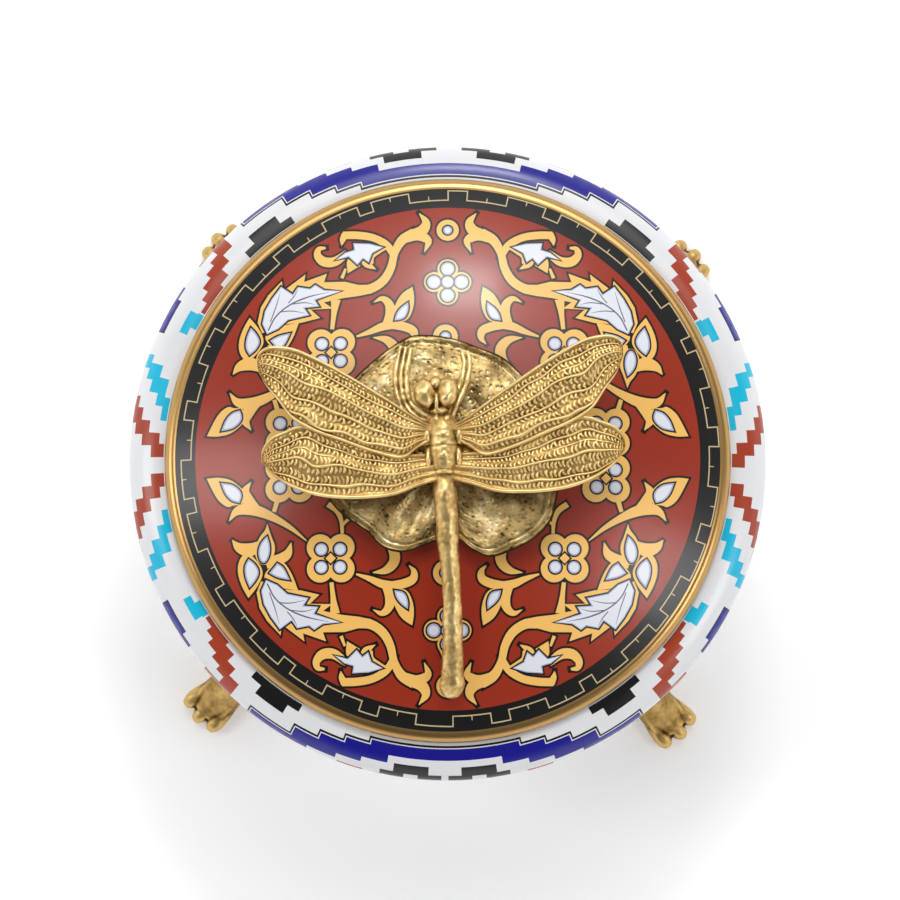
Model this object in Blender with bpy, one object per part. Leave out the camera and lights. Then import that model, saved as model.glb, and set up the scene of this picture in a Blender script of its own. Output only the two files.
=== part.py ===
"""Round porcelain casket on four bronze paw feet, with a lift-off domed lid that carries a bronze
dragonfly on a lily leaf. Metres, +Z up, the feet stand on Z = 0, the front is towards -Y."""
import math

import bmesh
import bpy
from mathutils import Matrix, Vector

# Bowl of the casket
BODY_DIAMETER = 0.140        # across the widest line
BODY_WIDEST_HEIGHT = 0.061   # height of the widest line above the table
BODY_BASE_HEIGHT = 0.0165    # height of the underside above the table
BODY_BASE_DIAMETER = 0.068
BODY_RIM_HEIGHT = 0.066
BODY_RIM_DIAMETER = 0.1244   # outer edge of the flat rim
MOUTH_DIAMETER = 0.1164      # clear opening
BODY_WALL = 0.004
FOOT_RING_HEIGHT = 0.0015
FOOT_RING_WIDTH = 0.004

# Lid
LID_DIAMETER = 0.1238
LID_SEAT_GAP = 0.0003        # between the rim and the underside of the lid edge
LID_EDGE_HEIGHT = 0.0024     # height of the gilt edge
LID_EDGE_WIDTH = 0.0020      # width of the gilt edge seen from above
LID_CROWN_HEIGHT = 0.081     # top of the dome above the table
LID_WALL = 0.0035
FLANGE_DEPTH = 0.0040        # how far the locating flange reaches into the mouth
FLANGE_WALL = 0.0025
FLANGE_CLEARANCE = 0.0006    # between the flange and the mouth, all round

# Bronze on the lid
CASTING_GAP = 0.0003         # between the leaf and the dome, and the dragonfly and the leaf
LEAF_THICKNESS = 0.0016      # in the middle
LEAF_EDGE_THICKNESS = 0.0011
LEAF_RADIUS = 0.025          # mean radius of the outline
LEAF_TURN = 1.5              # degrees, to the left
LEAF_FLARE = 0.0050          # how far the side lobes lift off the dome
DRAGONFLY_TURN = 2.0         # degrees, to the left
FIGURE_OFFSET = 0.0009       # both castings sit this far left of the middle
THORAX_WIDTH = 0.0084
THORAX_HEIGHT = 0.0092
HEAD_WIDTH = 0.0084
HEAD_HEIGHT = 0.0060
FRONT_LENGTH = 0.0230        # from the waist to the face
WAIST_BACK = 0.0056          # the waist behind the middle of the leaf
EYE_RADIUS = 0.0025
WING_REACH = 0.0392          # from the middle of the back to a wing tip
FOREWING_DEPTH = 0.0247      # from its rearmost to its foremost point
HINDWING_DEPTH = 0.0160
FOREWING_BACK = 0.0015       # rearmost point of the forewings behind the middle of the leaf
HINDWING_BACK = 0.0099
WING_THICKNESS = 0.0011
FOREWING_STEP = 0.0006       # how far the forewings lie above the hindwings
WING_TIP_RISE = 0.0012
VEIN_HEIGHT = 0.00045
TAIL_LENGTH = 0.0470         # from the waist to the tip
TAIL_WIDTH = 0.0041          # at its thinnest
TAIL_TIP_GAP = 0.0004        # between the tail tip and the dome
LEG_WIDTH = 0.0012

# Feet
FOOT_REACH = 0.0104          # how far the middle toes stand out beyond the widest line of the bowl
FOOT_WIDTH = 0.0108
FOOT_TOP_HEIGHT = 0.0410     # how high the knee plate reaches up the bowl
FOOT_GAP = 0.0003            # between the bowl and the knee plate
TOE_RADIUS = 0.0020
TOE_LENGTH = 0.0052          # half the length of the middle toe
TOE_SPLAY = 9.0              # degrees, each side toe outwards
FEET_TURN = -2.0             # degrees, all four feet round the bowl

SEGMENTS = 56                # facets round the bowl and the lid


def material(name, colour, metallic, roughness, coat=0.0):
    mat = bpy.data.materials.new(name)
    mat.use_nodes = True
    shader = mat.node_tree.nodes["Principled BSDF"]
    shader.inputs["Base Color"].default_value = (*colour, 1.0)
    shader.inputs["Metallic"].default_value = metallic
    shader.inputs["Roughness"].default_value = roughness
    shader.inputs["Coat Weight"].default_value = coat
    return mat


def add_object(name, verts, faces, mat, sharp=40.0):
    mesh = bpy.data.meshes.new(name)
    mesh.from_pydata([tuple(v) for v in verts], [], faces)
    mesh.update()
    return finish_object(name, mesh, mat, sharp)


def finish_object(name, mesh, mat, sharp=40.0):
    bm = bmesh.new()
    bm.from_mesh(mesh)
    bmesh.ops.recalc_face_normals(bm, faces=bm.faces)
    if bm.calc_volume(signed=True) < 0:
        bmesh.ops.reverse_faces(bm, faces=bm.faces)
    bm.to_mesh(mesh)
    bm.free()
    mesh.shade_smooth()
    mesh.set_sharp_from_angle(angle=math.radians(sharp))
    mesh.materials.clear()
    mesh.materials.append(mat)
    ob = bpy.data.objects.new(name, mesh)
    bpy.context.scene.collection.objects.link(ob)
    return ob


def revolve(name, profile, mat):
    """Turned solid: the profile is a closed run of (radius, height) that may start and end on the axis."""
    verts, rings = [], []
    for radius, height in profile:
        if radius < 1e-9:
            rings.append([len(verts)])
            verts.append((0.0, 0.0, height))
            continue
        rings.append(list(range(len(verts), len(verts) + SEGMENTS)))
        for i in range(SEGMENTS):
            angle = 2 * math.pi * i / SEGMENTS
            verts.append((radius * math.cos(angle), radius * math.sin(angle), height))
    faces = []
    for a, b in zip(rings, rings[1:]):
        for i in range(SEGMENTS):
            j = (i + 1) % SEGMENTS
            if len(a) == 1:
                faces.append((a[0], b[i], b[j]))
            elif len(b) == 1:
                faces.append((a[i], b[0], a[j]))
            else:
                faces.append((a[i], b[i], b[j], a[j]))
    return add_object(name, verts, faces, mat)


def arc(centre, radii, start, end, count):
    """Points on an ellipse round centre (radius, height), angles in degrees, 0 points outwards."""
    out = []
    for i in range(count):
        t = math.radians(start + (end - start) * i / (count - 1))
        out.append((centre[0] + radii[0] * math.cos(t), centre[1] + radii[1] * math.sin(t)))
    return out


def body_outer_radius(height):
    """Outer radius of the bowl below its widest line."""
    drop = BODY_WIDEST_HEIGHT - height
    depth = BODY_WIDEST_HEIGHT - BODY_BASE_HEIGHT
    if drop <= 0:
        return BODY_DIAMETER / 2
    swell = math.sqrt(max(0.0, 1 - (drop / depth) ** 2))
    return BODY_BASE_DIAMETER / 2 + (BODY_DIAMETER - BODY_BASE_DIAMETER) / 2 * swell


def dome_values():
    edge_radius = LID_DIAMETER / 2 - LID_EDGE_WIDTH
    edge_height = BODY_RIM_HEIGHT + LID_SEAT_GAP + LID_EDGE_HEIGHT
    rise = LID_CROWN_HEIGHT - edge_height
    ball = (edge_radius ** 2 + rise ** 2) / (2 * rise)
    return edge_radius, edge_height, ball


def dome_height(radius):
    ball = dome_values()[2]
    return LID_CROWN_HEIGHT - ball + math.sqrt(ball ** 2 - radius ** 2)


def make_body(mat):
    wide, rim, mouth = BODY_DIAMETER / 2, BODY_RIM_DIAMETER / 2, MOUTH_DIAMETER / 2
    base = BODY_BASE_DIAMETER / 2
    low, mid, top = BODY_BASE_HEIGHT, BODY_WIDEST_HEIGHT, BODY_RIM_HEIGHT
    profile = [(0.0, low), (base - FOOT_RING_WIDTH, low),
               (base - FOOT_RING_WIDTH, low - FOOT_RING_HEIGHT), (base, low - FOOT_RING_HEIGHT)]
    profile += arc((base, mid), (wide - base, mid - low), -90, 0, 9)
    profile += arc((rim, mid), (wide - rim, top - mid), 0, 90, 6)[1:]
    profile += [(mouth, top)]
    profile += arc((mouth, mid), (wide - BODY_WALL - mouth, top - BODY_WALL - mid), 90, 0, 4)
    profile += arc((base, mid), (wide - BODY_WALL - base, mid - low - BODY_WALL), 0, -90, 6)[1:]
    profile += [(0.0, low + BODY_WALL)]
    return revolve("body", profile, mat)


def make_lid(mat):
    edge_radius, edge_height, ball = dome_values()
    seat = BODY_RIM_HEIGHT + LID_SEAT_GAP
    outer = LID_DIAMETER / 2
    flange = MOUTH_DIAMETER / 2 - FLANGE_CLEARANCE
    inner = flange - FLANGE_WALL
    profile = [(edge_radius * i / 6, dome_height(edge_radius * i / 6)) for i in range(7)]
    profile += arc((edge_radius, edge_height - LID_EDGE_HEIGHT * 0.75),
                   (LID_EDGE_WIDTH, LID_EDGE_HEIGHT * 0.75), 90, 0, 4)[1:]
    profile += [(outer, seat), (flange, seat), (flange, seat - FLANGE_DEPTH), (inner, seat - FLANGE_DEPTH)]
    small = ball - LID_WALL
    under = [(inner * i / 5, LID_CROWN_HEIGHT - ball + math.sqrt(small ** 2 - (inner * i / 5) ** 2))
             for i in range(6)]
    profile += under[::-1]
    return revolve("lid", profile, mat)


# Outline of the leaf: (angle in degrees from +X, radius as a multiple of the mean radius, flare as a
# multiple of the largest flare). The notch for the tail is at -89.
LEAF_OUTLINE = (
    (-166, 1.04, 0.98), (-157, 1.056, 1.00), (-147, 1.01, 0.98), (-136, 0.955, 0.90), (-124, 0.972, 0.78),
    (-114, 0.935, 0.66), (-105, 0.84, 0.50), (-97, 0.772, 0.38), (-89, 0.745, 0.34), (-81, 0.764, 0.38),
    (-75, 0.875, 0.50), (-68, 0.984, 0.62), (-57, 1.032, 0.76), (-43, 1.088, 0.90), (-33, 1.096, 1.00),
    (-24, 1.055, 1.00), (-10, 1.01, 0.92), (5, 0.985, 0.80), (20, 0.965, 0.66), (33, 0.955, 0.52),
    (45, 0.957, 0.42), (57, 0.974, 0.36), (70, 0.965, 0.32), (86, 1.003, 0.34), (96, 1.035, 0.30),
    (105, 1.055, 0.34), (116, 1.02, 0.42), (128, 1.00, 0.52), (141, 1.004, 0.64), (158, 1.01, 0.80),
    (176, 1.02, 0.92))
LEAF_STEPS = (0.0, 0.26, 0.46, 0.63, 0.78, 0.91, 1.0)


def leaf_shape(angle):
    """Outline radius and flare at an angle in degrees."""
    table = list(LEAF_OUTLINE) + [(LEAF_OUTLINE[0][0] + 360, *LEAF_OUTLINE[0][1:])]
    while angle < table[0][0]:
        angle += 360
    while angle >= table[0][0] + 360:
        angle -= 360
    for a, b in zip(table, table[1:]):
        if a[0] <= angle <= b[0]:
            f = (angle - a[0]) / (b[0] - a[0])
            return LEAF_RADIUS * (a[1] + (b[1] - a[1]) * f), LEAF_FLARE * (a[2] + (b[2] - a[2]) * f)
    return LEAF_RADIUS, 0.0


def leaf_heights(share, angle):
    """Underside and top of the leaf at a share of its outline radius."""
    radius, flare = leaf_shape(angle)
    lift = max(0.0, (share - 0.40) / 0.60) ** 1.5 * flare
    under = dome_height(radius * share) + CASTING_GAP + lift
    front = 0.5 - 0.5 * math.sin(math.radians(angle))
    thick = LEAF_THICKNESS + (LEAF_EDGE_THICKNESS - LEAF_THICKNESS) * share
    pillow = (1 - front) * 0.0011 * math.sin(math.pi * min(1.0, share * 1.02))
    fold = 0.0009 * front * max(0.0, math.sin(math.pi * min(1.0, share / 0.9))) \
        * math.cos(math.radians(angle * 6 + 70)) ** 2 * share
    lip = 0.0004 * front if share > 0.95 else 0.0
    return under, under + thick + max(0.0, pillow) + fold + lip


def leaf_place():
    return Matrix.Translation((-FIGURE_OFFSET, 0, 0)) @ Matrix.Rotation(math.radians(LEAF_TURN), 4, "Z")


def leaf_top_at(x, y):
    """Top of the leaf in its own frame."""
    angle = math.degrees(math.atan2(y, x))
    return leaf_heights(min(1.0, math.hypot(x, y) / leaf_shape(angle)[0]), angle)[1]


def make_leaf(mat):
    verts, top, under = [], [], []
    for store, which in ((top, 1), (under, 0)):
        for share in LEAF_STEPS:
            row = []
            for angle, _, _ in LEAF_OUTLINE:
                radius = leaf_shape(angle)[0] * share
                a = math.radians(angle)
                verts.append((radius * math.cos(a), radius * math.sin(a), leaf_heights(share, angle)[which]))
                row.append(len(verts) - 1)
                if share == 0.0:
                    break
            store.append(row)
    faces, n = [], len(LEAF_OUTLINE)
    for rows in (top, under):
        for a, b in zip(rows, rows[1:]):
            for i in range(n):
                j = (i + 1) % n
                faces.append((a[0], b[i], b[j]) if len(a) == 1 else (a[i], b[i], b[j], a[j]))
    for i in range(n):
        j = (i + 1) % n
        faces.append((top[-1][i], under[-1][i], under[-1][j], top[-1][j]))
    ob = add_object("lily_leaf", verts, faces, mat, 35.0)
    place = leaf_place()
    centre = (place @ Vector((0, 0, 0)))
    for v in ob.data.vertices:
        flat = place @ Vector((v.co.x, v.co.y, 0))
        shift = dome_height(math.hypot(flat.x, flat.y)) - dome_height(math.hypot(v.co.x, v.co.y))
        v.co = (flat.x, flat.y, v.co.z + shift)
    return ob


def tube(name, stations, sides, mat):
    """Body along a run of stations (x, y, z, half width, half height), rings upright across Y."""
    verts, faces, rings = [], [], []
    for x, y, z, wide, high in stations:
        ring = []
        for i in range(sides):
            a = 2 * math.pi * (i + 0.5) / sides
            ring.append(len(verts))
            verts.append((x + wide * math.cos(a), y, z + high * math.sin(a)))
        rings.append(ring)
    for a, b in zip(rings, rings[1:]):
        for i in range(sides):
            j = (i + 1) % sides
            faces.append((a[i], b[i], b[j], a[j]))
    faces.append(tuple(rings[0]))
    faces.append(tuple(rings[-1]))
    return add_object(name, verts, faces, mat)


def ellipsoid(name, place, radii, around, rows, mat):
    verts, faces = [place @ Vector((0, 0, radii[2]))], []
    for k in range(1, rows):
        t = math.pi * k / rows
        for i in range(around):
            a = 2 * math.pi * i / around
            verts.append(place @ Vector((radii[0] * math.sin(t) * math.cos(a),
                                         radii[1] * math.sin(t) * math.sin(a), radii[2] * math.cos(t))))
    verts.append(place @ Vector((0, 0, -radii[2])))
    last = len(verts) - 1
    for i in range(around):
        j = (i + 1) % around
        faces.append((0, 1 + i, 1 + j))
        faces.append((last, last - around + j, last - around + i))
        for k in range(rows - 2):
            a, b = 1 + k * around, 1 + (k + 1) * around
            faces.append((a + i, b + i, b + j, a + j))
    return add_object(name, verts, faces, mat)


def cord(name, points, radius, sides, mat):
    """Round bar through a run of points."""
    verts, faces, rings = [], [], []
    points = [Vector(p) for p in points]
    for k, p in enumerate(points):
        along = (points[min(k + 1, len(points) - 1)] - points[max(k - 1, 0)]).normalized()
        side = along.cross(Vector((0, 0, 1))).normalized()
        up = side.cross(along).normalized()
        ring = []
        for i in range(sides):
            a = 2 * math.pi * (i + 0.5) / sides
            ring.append(len(verts))
            verts.append(p + side * radius * math.cos(a) + up * radius * math.sin(a))
        rings.append(ring)
    for a, b in zip(rings, rings[1:]):
        for i in range(sides):
            j = (i + 1) % sides
            faces.append((a[i], b[i], b[j], a[j]))
    faces += [tuple(rings[0]), tuple(rings[-1])]
    return add_object(name, verts, faces, mat)


def resample(points, count):
    points = [Vector(p) for p in points]
    run = [0.0]
    for a, b in zip(points, points[1:]):
        run.append(run[-1] + (b - a).length)
    out, k = [], 0
    for i in range(count):
        want = run[-1] * i / (count - 1)
        while k < len(points) - 2 and run[k + 1] < want:
            k += 1
        out.append(points[k].lerp(points[k + 1], (want - run[k]) / (run[k + 1] - run[k])))
    return out


# Wing edges from the root to the tip: across as a share of the reach, along the body as a share of the
# wing's own depth from its rearmost point.
FOREWING_LEAD = ((0.04, 0.28), (0.125, 0.333), (0.306, 0.530), (0.553, 0.781), (0.750, 0.951),
                 (0.854, 1.000), (0.938, 1.000), (0.990, 0.943), (1.000, 0.826))
FOREWING_TRAIL = ((0.04, 0.15), (0.138, 0.077), (0.209, 0.000), (0.278, 0.000), (0.416, 0.069),
                  (0.556, 0.158), (0.696, 0.247), (0.814, 0.364), (0.890, 0.526), (0.959, 0.672), (1.000, 0.826))
HINDWING_LEAD = ((0.03, 0.575), (0.278, 0.600), (0.485, 0.756), (0.714, 0.981), (0.791, 1.000),
                 (0.855, 0.944), (0.941, 0.850), (0.987, 0.694), (0.992, 0.540))
HINDWING_TRAIL = ((0.03, 0.215), (0.138, 0.144), (0.276, 0.031), (0.416, 0.000), (0.554, 0.006),
                  (0.694, 0.056), (0.827, 0.175), (0.931, 0.350), (0.992, 0.540))
WING_STATIONS = 11
WING_LINES = 9


def make_wing(name, side, lead, trail, depth, rear, root_height, thick, mat):
    """Cast wing: flat below, above it vein ridges fan out from the root to the tip."""
    def plan(edge):
        return resample([(side * WING_REACH * a, rear + depth * b, 0.0) for a, b in edge], WING_STATIONS)
    front, back = plan(lead), plan(trail)

    def below(x):
        return root_height + WING_TIP_RISE * abs(x) / WING_REACH
    verts, top, faces = [], [], []
    for i in range(WING_STATIONS - 1):
        row = []
        for j in range(WING_LINES):
            share = j / (WING_LINES - 1)
            p = front[i].lerp(back[i], share)
            along = i / (WING_STATIONS - 1)
            ridge = VEIN_HEIGHT * min(1.0, 0.3 + 2.5 * along) if j % 2 == 0 else 0.0
            camber = 0.5 * thick * math.sin(math.pi * share) * math.sin(math.pi * min(1.0, 0.15 + along))
            row.append(len(verts))
            verts.append((p.x, p.y, below(p.x) + thick + ridge + max(0.0, camber)))
        top.append(row)
    tip = len(verts)
    verts.append((front[-1].x, front[-1].y, below(front[-1].x) + thick))
    low_front, low_back = [], []
    for store, edge in ((low_front, front), (low_back, back)):
        for p in edge[:-1]:
            store.append(len(verts))
            verts.append((p.x, p.y, below(p.x)))
    low_tip = len(verts)
    verts.append((front[-1].x, front[-1].y, below(front[-1].x)))
    for a, b in zip(top, top[1:]):
        for j in range(WING_LINES - 1):
            faces.append((a[j], b[j], b[j + 1], a[j + 1]))
    for j in range(WING_LINES - 1):
        faces.append((top[-1][j], tip, top[-1][j + 1]))
    for i in range(WING_STATIONS - 2):
        faces.append((low_front[i], low_back[i], low_back[i + 1], low_front[i + 1]))
        faces.append((top[i][0], low_front[i], low_front[i + 1], top[i + 1][0]))
        faces.append((top[i][-1], top[i + 1][-1], low_back[i + 1], low_back[i]))
    faces.append((low_front[-1], low_back[-1], low_tip))
    faces.append((top[-1][0], low_front[-1], low_tip, tip))
    faces.append((top[-1][-1], tip, low_tip, low_back[-1]))
    faces.append(tuple(top[0]) + (low_back[0], low_front[0]))
    return add_object(name, verts, faces, mat)


def unite(base, others):
    """Join closed pieces into one closed piece and take the helpers away."""
    for other in others:
        mod = base.modifiers.new("join", "BOOLEAN")
        mod.operation = "UNION"
        mod.solver = "EXACT"
        mod.object = other
    depsgraph = bpy.context.evaluated_depsgraph_get()
    depsgraph.update()
    mesh = bpy.data.meshes.new_from_object(base.evaluated_get(depsgraph))
    for ob in [base] + list(others):
        bpy.data.objects.remove(ob, do_unlink=True)
    return mesh


# Head and thorax from the face to the waist: share of the front length, then half width and half height
# as shares of the width and height of the head (first six) or of the thorax.
FRONT_STATIONS = ((1.000, 0.12, 0.13), (0.952, 0.26, 0.28), (0.878, 0.42, 0.43), (0.765, 0.50, 0.50),
                  (0.665, 0.40, 0.43), (0.600, 0.25, 0.32), (0.539, 0.39, 0.37), (0.435, 0.50, 0.475),
                  (0.304, 0.49, 0.50), (0.283, 0.455, 0.465), (0.261, 0.485, 0.495), (0.139, 0.44, 0.45),
                  (0.048, 0.34, 0.35))
EYE_PLACE = (0.256, 0.774, 0.56)   # across, along and above, as shares of head width, front length, eye radius
# Forelegs on the leaf, as multiples of the leaf's mean radius
LEG_PATH = ((0.184, 0.384), (0.272, 0.520), (0.324, 0.688), (0.296, 0.840), (0.248, 0.944))


def make_dragonfly(mat):
    thorax = LID_CROWN_HEIGHT + CASTING_GAP + LEAF_THICKNESS + CASTING_GAP + THORAX_HEIGHT / 2

    def along(share):
        return FRONT_LENGTH * share - WAIST_BACK
    stations = []
    for k, (share, wide, high) in enumerate(FRONT_STATIONS):
        if k < 6:
            stations.append((0, along(share), thorax, HEAD_WIDTH * wide, HEAD_HEIGHT * high))
        else:
            stations.append((0, along(share), thorax, THORAX_WIDTH * wide, THORAX_HEIGHT * high))
    waist, count = -WAIST_BACK, 7
    tip = waist - TAIL_LENGTH
    thin, thick = TAIL_WIDTH / 2, TAIL_WIDTH / 2 * 1.32
    low = dome_height(-tip - thick / 2) + TAIL_TIP_GAP + thick
    start = thorax + THORAX_HEIGHT * 0.04

    def tail(f):
        return start + (low - start) * f ** 1.55
    for k in range(count):
        for part, swell in ((0.04, 0.90), (0.22, 1.06), (0.90, 1.0)):
            f = (k + part) / count
            size = thin + (thick - thin) * (2 * abs(f - 0.5)) ** 1.8
            stations.append((0, waist + (tip - waist) * f * 0.985, tail(f), size * swell, size * swell * 0.95))
    stations.append((0, tip, tail(1.0), thick * 0.45, thick * 0.45))
    torso = tube("torso", stations, 10, mat)

    helpers = []
    for side in (-1, 1):
        eye = (side * HEAD_WIDTH * EYE_PLACE[0], along(EYE_PLACE[1]), thorax + EYE_RADIUS * EYE_PLACE[2])
        helpers.append(ellipsoid("eye", Matrix.Translation(eye),
                                 (EYE_RADIUS, EYE_RADIUS * 1.12, EYE_RADIUS), 10, 6, mat))
        hind = thorax + THORAX_HEIGHT * 0.09
        helpers.append(make_wing("hindwing", side, HINDWING_LEAD, HINDWING_TRAIL, HINDWING_DEPTH, -HINDWING_BACK,
                                 hind, WING_THICKNESS, mat))
        helpers.append(make_wing("forewing", side, FOREWING_LEAD, FOREWING_TRAIL, FOREWING_DEPTH, -FOREWING_BACK,
                                 hind + FOREWING_STEP, WING_THICKNESS * 1.35, mat))
        for nth in (0, 1):
            path = [(side * (THORAX_WIDTH * 0.18 + 0.9 * nth * LEG_WIDTH), along(0.543) - 0.7 * nth * LEG_WIDTH,
                     thorax - THORAX_HEIGHT * 0.11 - 0.4 * nth * LEG_WIDTH)]
            for x, y in LEG_PATH:
                x, y = side * (x * LEAF_RADIUS + 1.33 * nth * LEG_WIDTH), y * LEAF_RADIUS
                path.append((x, y, leaf_top_at(x, y) + LEG_WIDTH / 2 + CASTING_GAP * 1.67))
            path[1] = (path[1][0], path[1][1], max(path[1][2], thorax - THORAX_HEIGHT * 0.33))
            helpers.append(cord("leg", path, LEG_WIDTH / 2, 5, mat))
    mesh = unite(torso, helpers)
    place = Matrix.Translation((-FIGURE_OFFSET, 0, 0)) @ Matrix.Rotation(math.radians(DRAGONFLY_TURN), 4, "Z")
    mesh.transform(place)
    return finish_object("dragonfly", mesh, mat, 35.0)


# The leg of a foot from the tip of the knee plate down to the paw: share of the height, half width and
# half depth as shares of the foot's width, and how far its middle has gone from the bowl to the toe tips.
LEG_STATIONS = ((1.000, 0.15, 0.10, 0.0), (0.920, 0.36, 0.17, 0.0), (0.790, 0.53, 0.27, 0.0),
                (0.630, 0.52, 0.34, 0.05), (0.480, 0.41, 0.30, 0.10), (0.340, 0.36, 0.30, 0.15),
                (0.220, 0.38, 0.35, 0.23), (0.115, 0.43, 0.39, 0.41), (0.065, 0.45, 0.33, 0.65),
                (0.050, 0.38, 0.25, 0.83))


def make_foot_mesh(mat):
    sides = 10
    verts, faces, rings = [], [], []
    stance = BODY_DIAMETER / 2 + FOOT_REACH
    spine = []
    for share, _, deep, gone in LEG_STATIONS:
        height = FOOT_TOP_HEIGHT * share
        if gone == 0.0:
            knee = body_outer_radius(height) + FOOT_GAP + FOOT_WIDTH * deep * 0.35
        spine.append(Vector((knee + (stance - knee) * gone, 0.0, height)))
    for k, (centre, row) in enumerate(zip(spine, LEG_STATIONS)):
        along = (spine[min(k + 1, len(spine) - 1)] - spine[max(k - 1, 0)]).normalized()
        out = Vector((0, 1, 0)).cross(along).normalized()
        ring = []
        for i in range(sides):
            a = 2 * math.pi * (i + 0.5) / sides
            p = centre + Vector((0, 1, 0)) * FOOT_WIDTH * row[1] * math.cos(a) - out * FOOT_WIDTH * row[2] * math.sin(a)
            reach = math.hypot(p.x, p.y)
            least = body_outer_radius(p.z) + FOOT_GAP
            if p.z > BODY_BASE_HEIGHT and reach < least:
                p.x *= least / reach
                p.y *= least / reach
            ring.append(len(verts))
            verts.append(p)
        rings.append(ring)
    for a, b in zip(rings, rings[1:]):
        for i in range(sides):
            j = (i + 1) % sides
            faces.append((a[i], b[i], b[j], a[j]))
    faces += [tuple(rings[0]), tuple(rings[-1])]
    leg = add_object("leg", verts, faces, mat)
    toes = []
    spread = FOOT_WIDTH / 2 - TOE_RADIUS
    for side in (-1, 0, 1):
        length = TOE_LENGTH * (1.0 if side == 0 else 0.9)
        tip = stance - (0.0 if side == 0 else TOE_RADIUS * 0.4)
        place = Matrix.Translation((tip - length, side * spread, TOE_RADIUS * 1.15)) \
            @ Matrix.Rotation(math.radians(TOE_SPLAY * side), 4, "Z")
        toes.append(ellipsoid("toe", place, (length, TOE_RADIUS, TOE_RADIUS * 1.3), 8, 6, mat))
    mesh = unite(leg, toes)
    bm = bmesh.new()
    bm.from_mesh(mesh)
    cut = bmesh.ops.bisect_plane(bm, geom=bm.verts[:] + bm.edges[:] + bm.faces[:], dist=1e-7,
                                 plane_co=(0, 0, 0), plane_no=(0, 0, -1), clear_outer=True)
    rim = [e for e in cut["geom_cut"] if isinstance(e, bmesh.types.BMEdge)]
    bmesh.ops.holes_fill(bm, edges=rim, sides=0)
    bm.to_mesh(mesh)
    bm.free()
    return mesh


def make_feet(mat):
    for name, angle in (("foot_front_right", -45), ("foot_back_right", 45),
                        ("foot_back_left", 135), ("foot_front_left", 225)):
        mesh = make_foot_mesh(mat)
        mesh.name = name
        mesh.transform(Matrix.Rotation(math.radians(angle + FEET_TURN), 4, "Z"))
        finish_object(name, mesh, mat, 40.0)


def main():
    for ob in list(bpy.data.objects):
        bpy.data.objects.remove(ob, do_unlink=True)
    glaze = material("white glazed porcelain", (0.86, 0.86, 0.88), 0.0, 0.12, 0.6)
    painted = material("painted glazed porcelain", (0.34, 0.03, 0.01), 0.0, 0.12, 0.6)
    bronze = material("gilt bronze", (0.60, 0.42, 0.16), 1.0, 0.36)
    leaf_bronze = material("darker bronze", (0.45, 0.31, 0.13), 1.0, 0.42)
    make_body(glaze)
    make_lid(painted)
    make_leaf(leaf_bronze)
    make_dragonfly(bronze)
    make_feet(bronze)


main()
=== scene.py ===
"""Porcelain casket with bronze mounts: the pieces that are seen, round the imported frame. Metres, +Z up."""
import math

import bmesh
import bpy
import numpy as np
from mathutils import Matrix, Vector, noise
from mathutils.geometry import delaunay_2d_cdt


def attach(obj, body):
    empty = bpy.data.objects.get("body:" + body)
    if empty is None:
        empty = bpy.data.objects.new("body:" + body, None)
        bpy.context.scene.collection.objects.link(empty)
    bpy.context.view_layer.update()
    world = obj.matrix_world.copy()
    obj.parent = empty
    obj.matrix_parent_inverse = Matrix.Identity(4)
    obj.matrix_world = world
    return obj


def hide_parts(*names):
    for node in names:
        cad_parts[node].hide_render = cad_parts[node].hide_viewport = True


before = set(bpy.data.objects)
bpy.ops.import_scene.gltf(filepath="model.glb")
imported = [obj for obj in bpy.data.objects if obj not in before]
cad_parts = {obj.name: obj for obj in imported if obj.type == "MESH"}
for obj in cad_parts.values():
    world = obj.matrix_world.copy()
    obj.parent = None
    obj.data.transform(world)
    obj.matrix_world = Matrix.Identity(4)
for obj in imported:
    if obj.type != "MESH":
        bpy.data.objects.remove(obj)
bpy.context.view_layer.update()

MM = 0.001
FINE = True

# Sizes in millimetres, the same as the solids have
BODY_R, WIDEST_Z, BASE_Z, BASE_R = 70.0, 61.0, 16.5, 34.0
RIM_Z, RIM_R, MOUTH_R, WALL = 66.0, 62.2, 58.2, 4.0
SEAT_Z = 66.3
LID_R, LID_EDGE_H, LID_EDGE_W, CROWN_Z, LID_WALL = 61.9, 2.4, 2.0, 81.0, 3.5
FLANGE_R, FLANGE_WALL, FLANGE_DEPTH = 57.6, 2.5, 4.0
DOME_R = LID_R - LID_EDGE_W
DOME_EDGE_Z = SEAT_Z + LID_EDGE_H
BALL = (DOME_R ** 2 + (CROWN_Z - DOME_EDGE_Z) ** 2) / (2 * (CROWN_Z - DOME_EDGE_Z))
RED_R = 55.0                 # where the red ground meets the black band
GAP = 0.3                    # between a casting and what it lies on
CURVE_STEPS = 5              # points per span of a drawn curve
COAT_ROUGHNESS = 0.14
OUTLINE_NEAR, CUT_NEAR = 1e-3, 2e-4   # points of an outline, and of a cut sheet, that count as one
FINEST = 0.05                # least width of a brush stroke
SAME_PLACE = 2e4             # corners are rounded to one part in this of a millimetre to find those that meet
NO_LENGTH = 1e-12            # keeps a division by a length off zero


def srgb(r, g, b):
    """Linear colour of an sRGB one that is given as 0 to 255."""
    return tuple((c / 255 / 12.92) if c <= 10 else ((c / 255 + 0.055) / 1.055) ** 2.4 for c in (r, g, b))


def plain(name, colour, roughness, metallic=0.0, coat=0.0):
    mat = bpy.data.materials.new(name)
    mat.use_nodes = True
    shader = mat.node_tree.nodes["Principled BSDF"]
    shader.inputs["Base Color"].default_value = (*colour, 1.0)
    shader.inputs["Metallic"].default_value = metallic
    shader.inputs["Roughness"].default_value = roughness
    shader.inputs["Coat Weight"].default_value = coat
    shader.inputs["Coat Roughness"].default_value = COAT_ROUGHNESS
    return mat


def glaze(name, r, g, b):
    return plain(name, srgb(r, g, b), roughness=0.3, coat=0.2)


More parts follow.
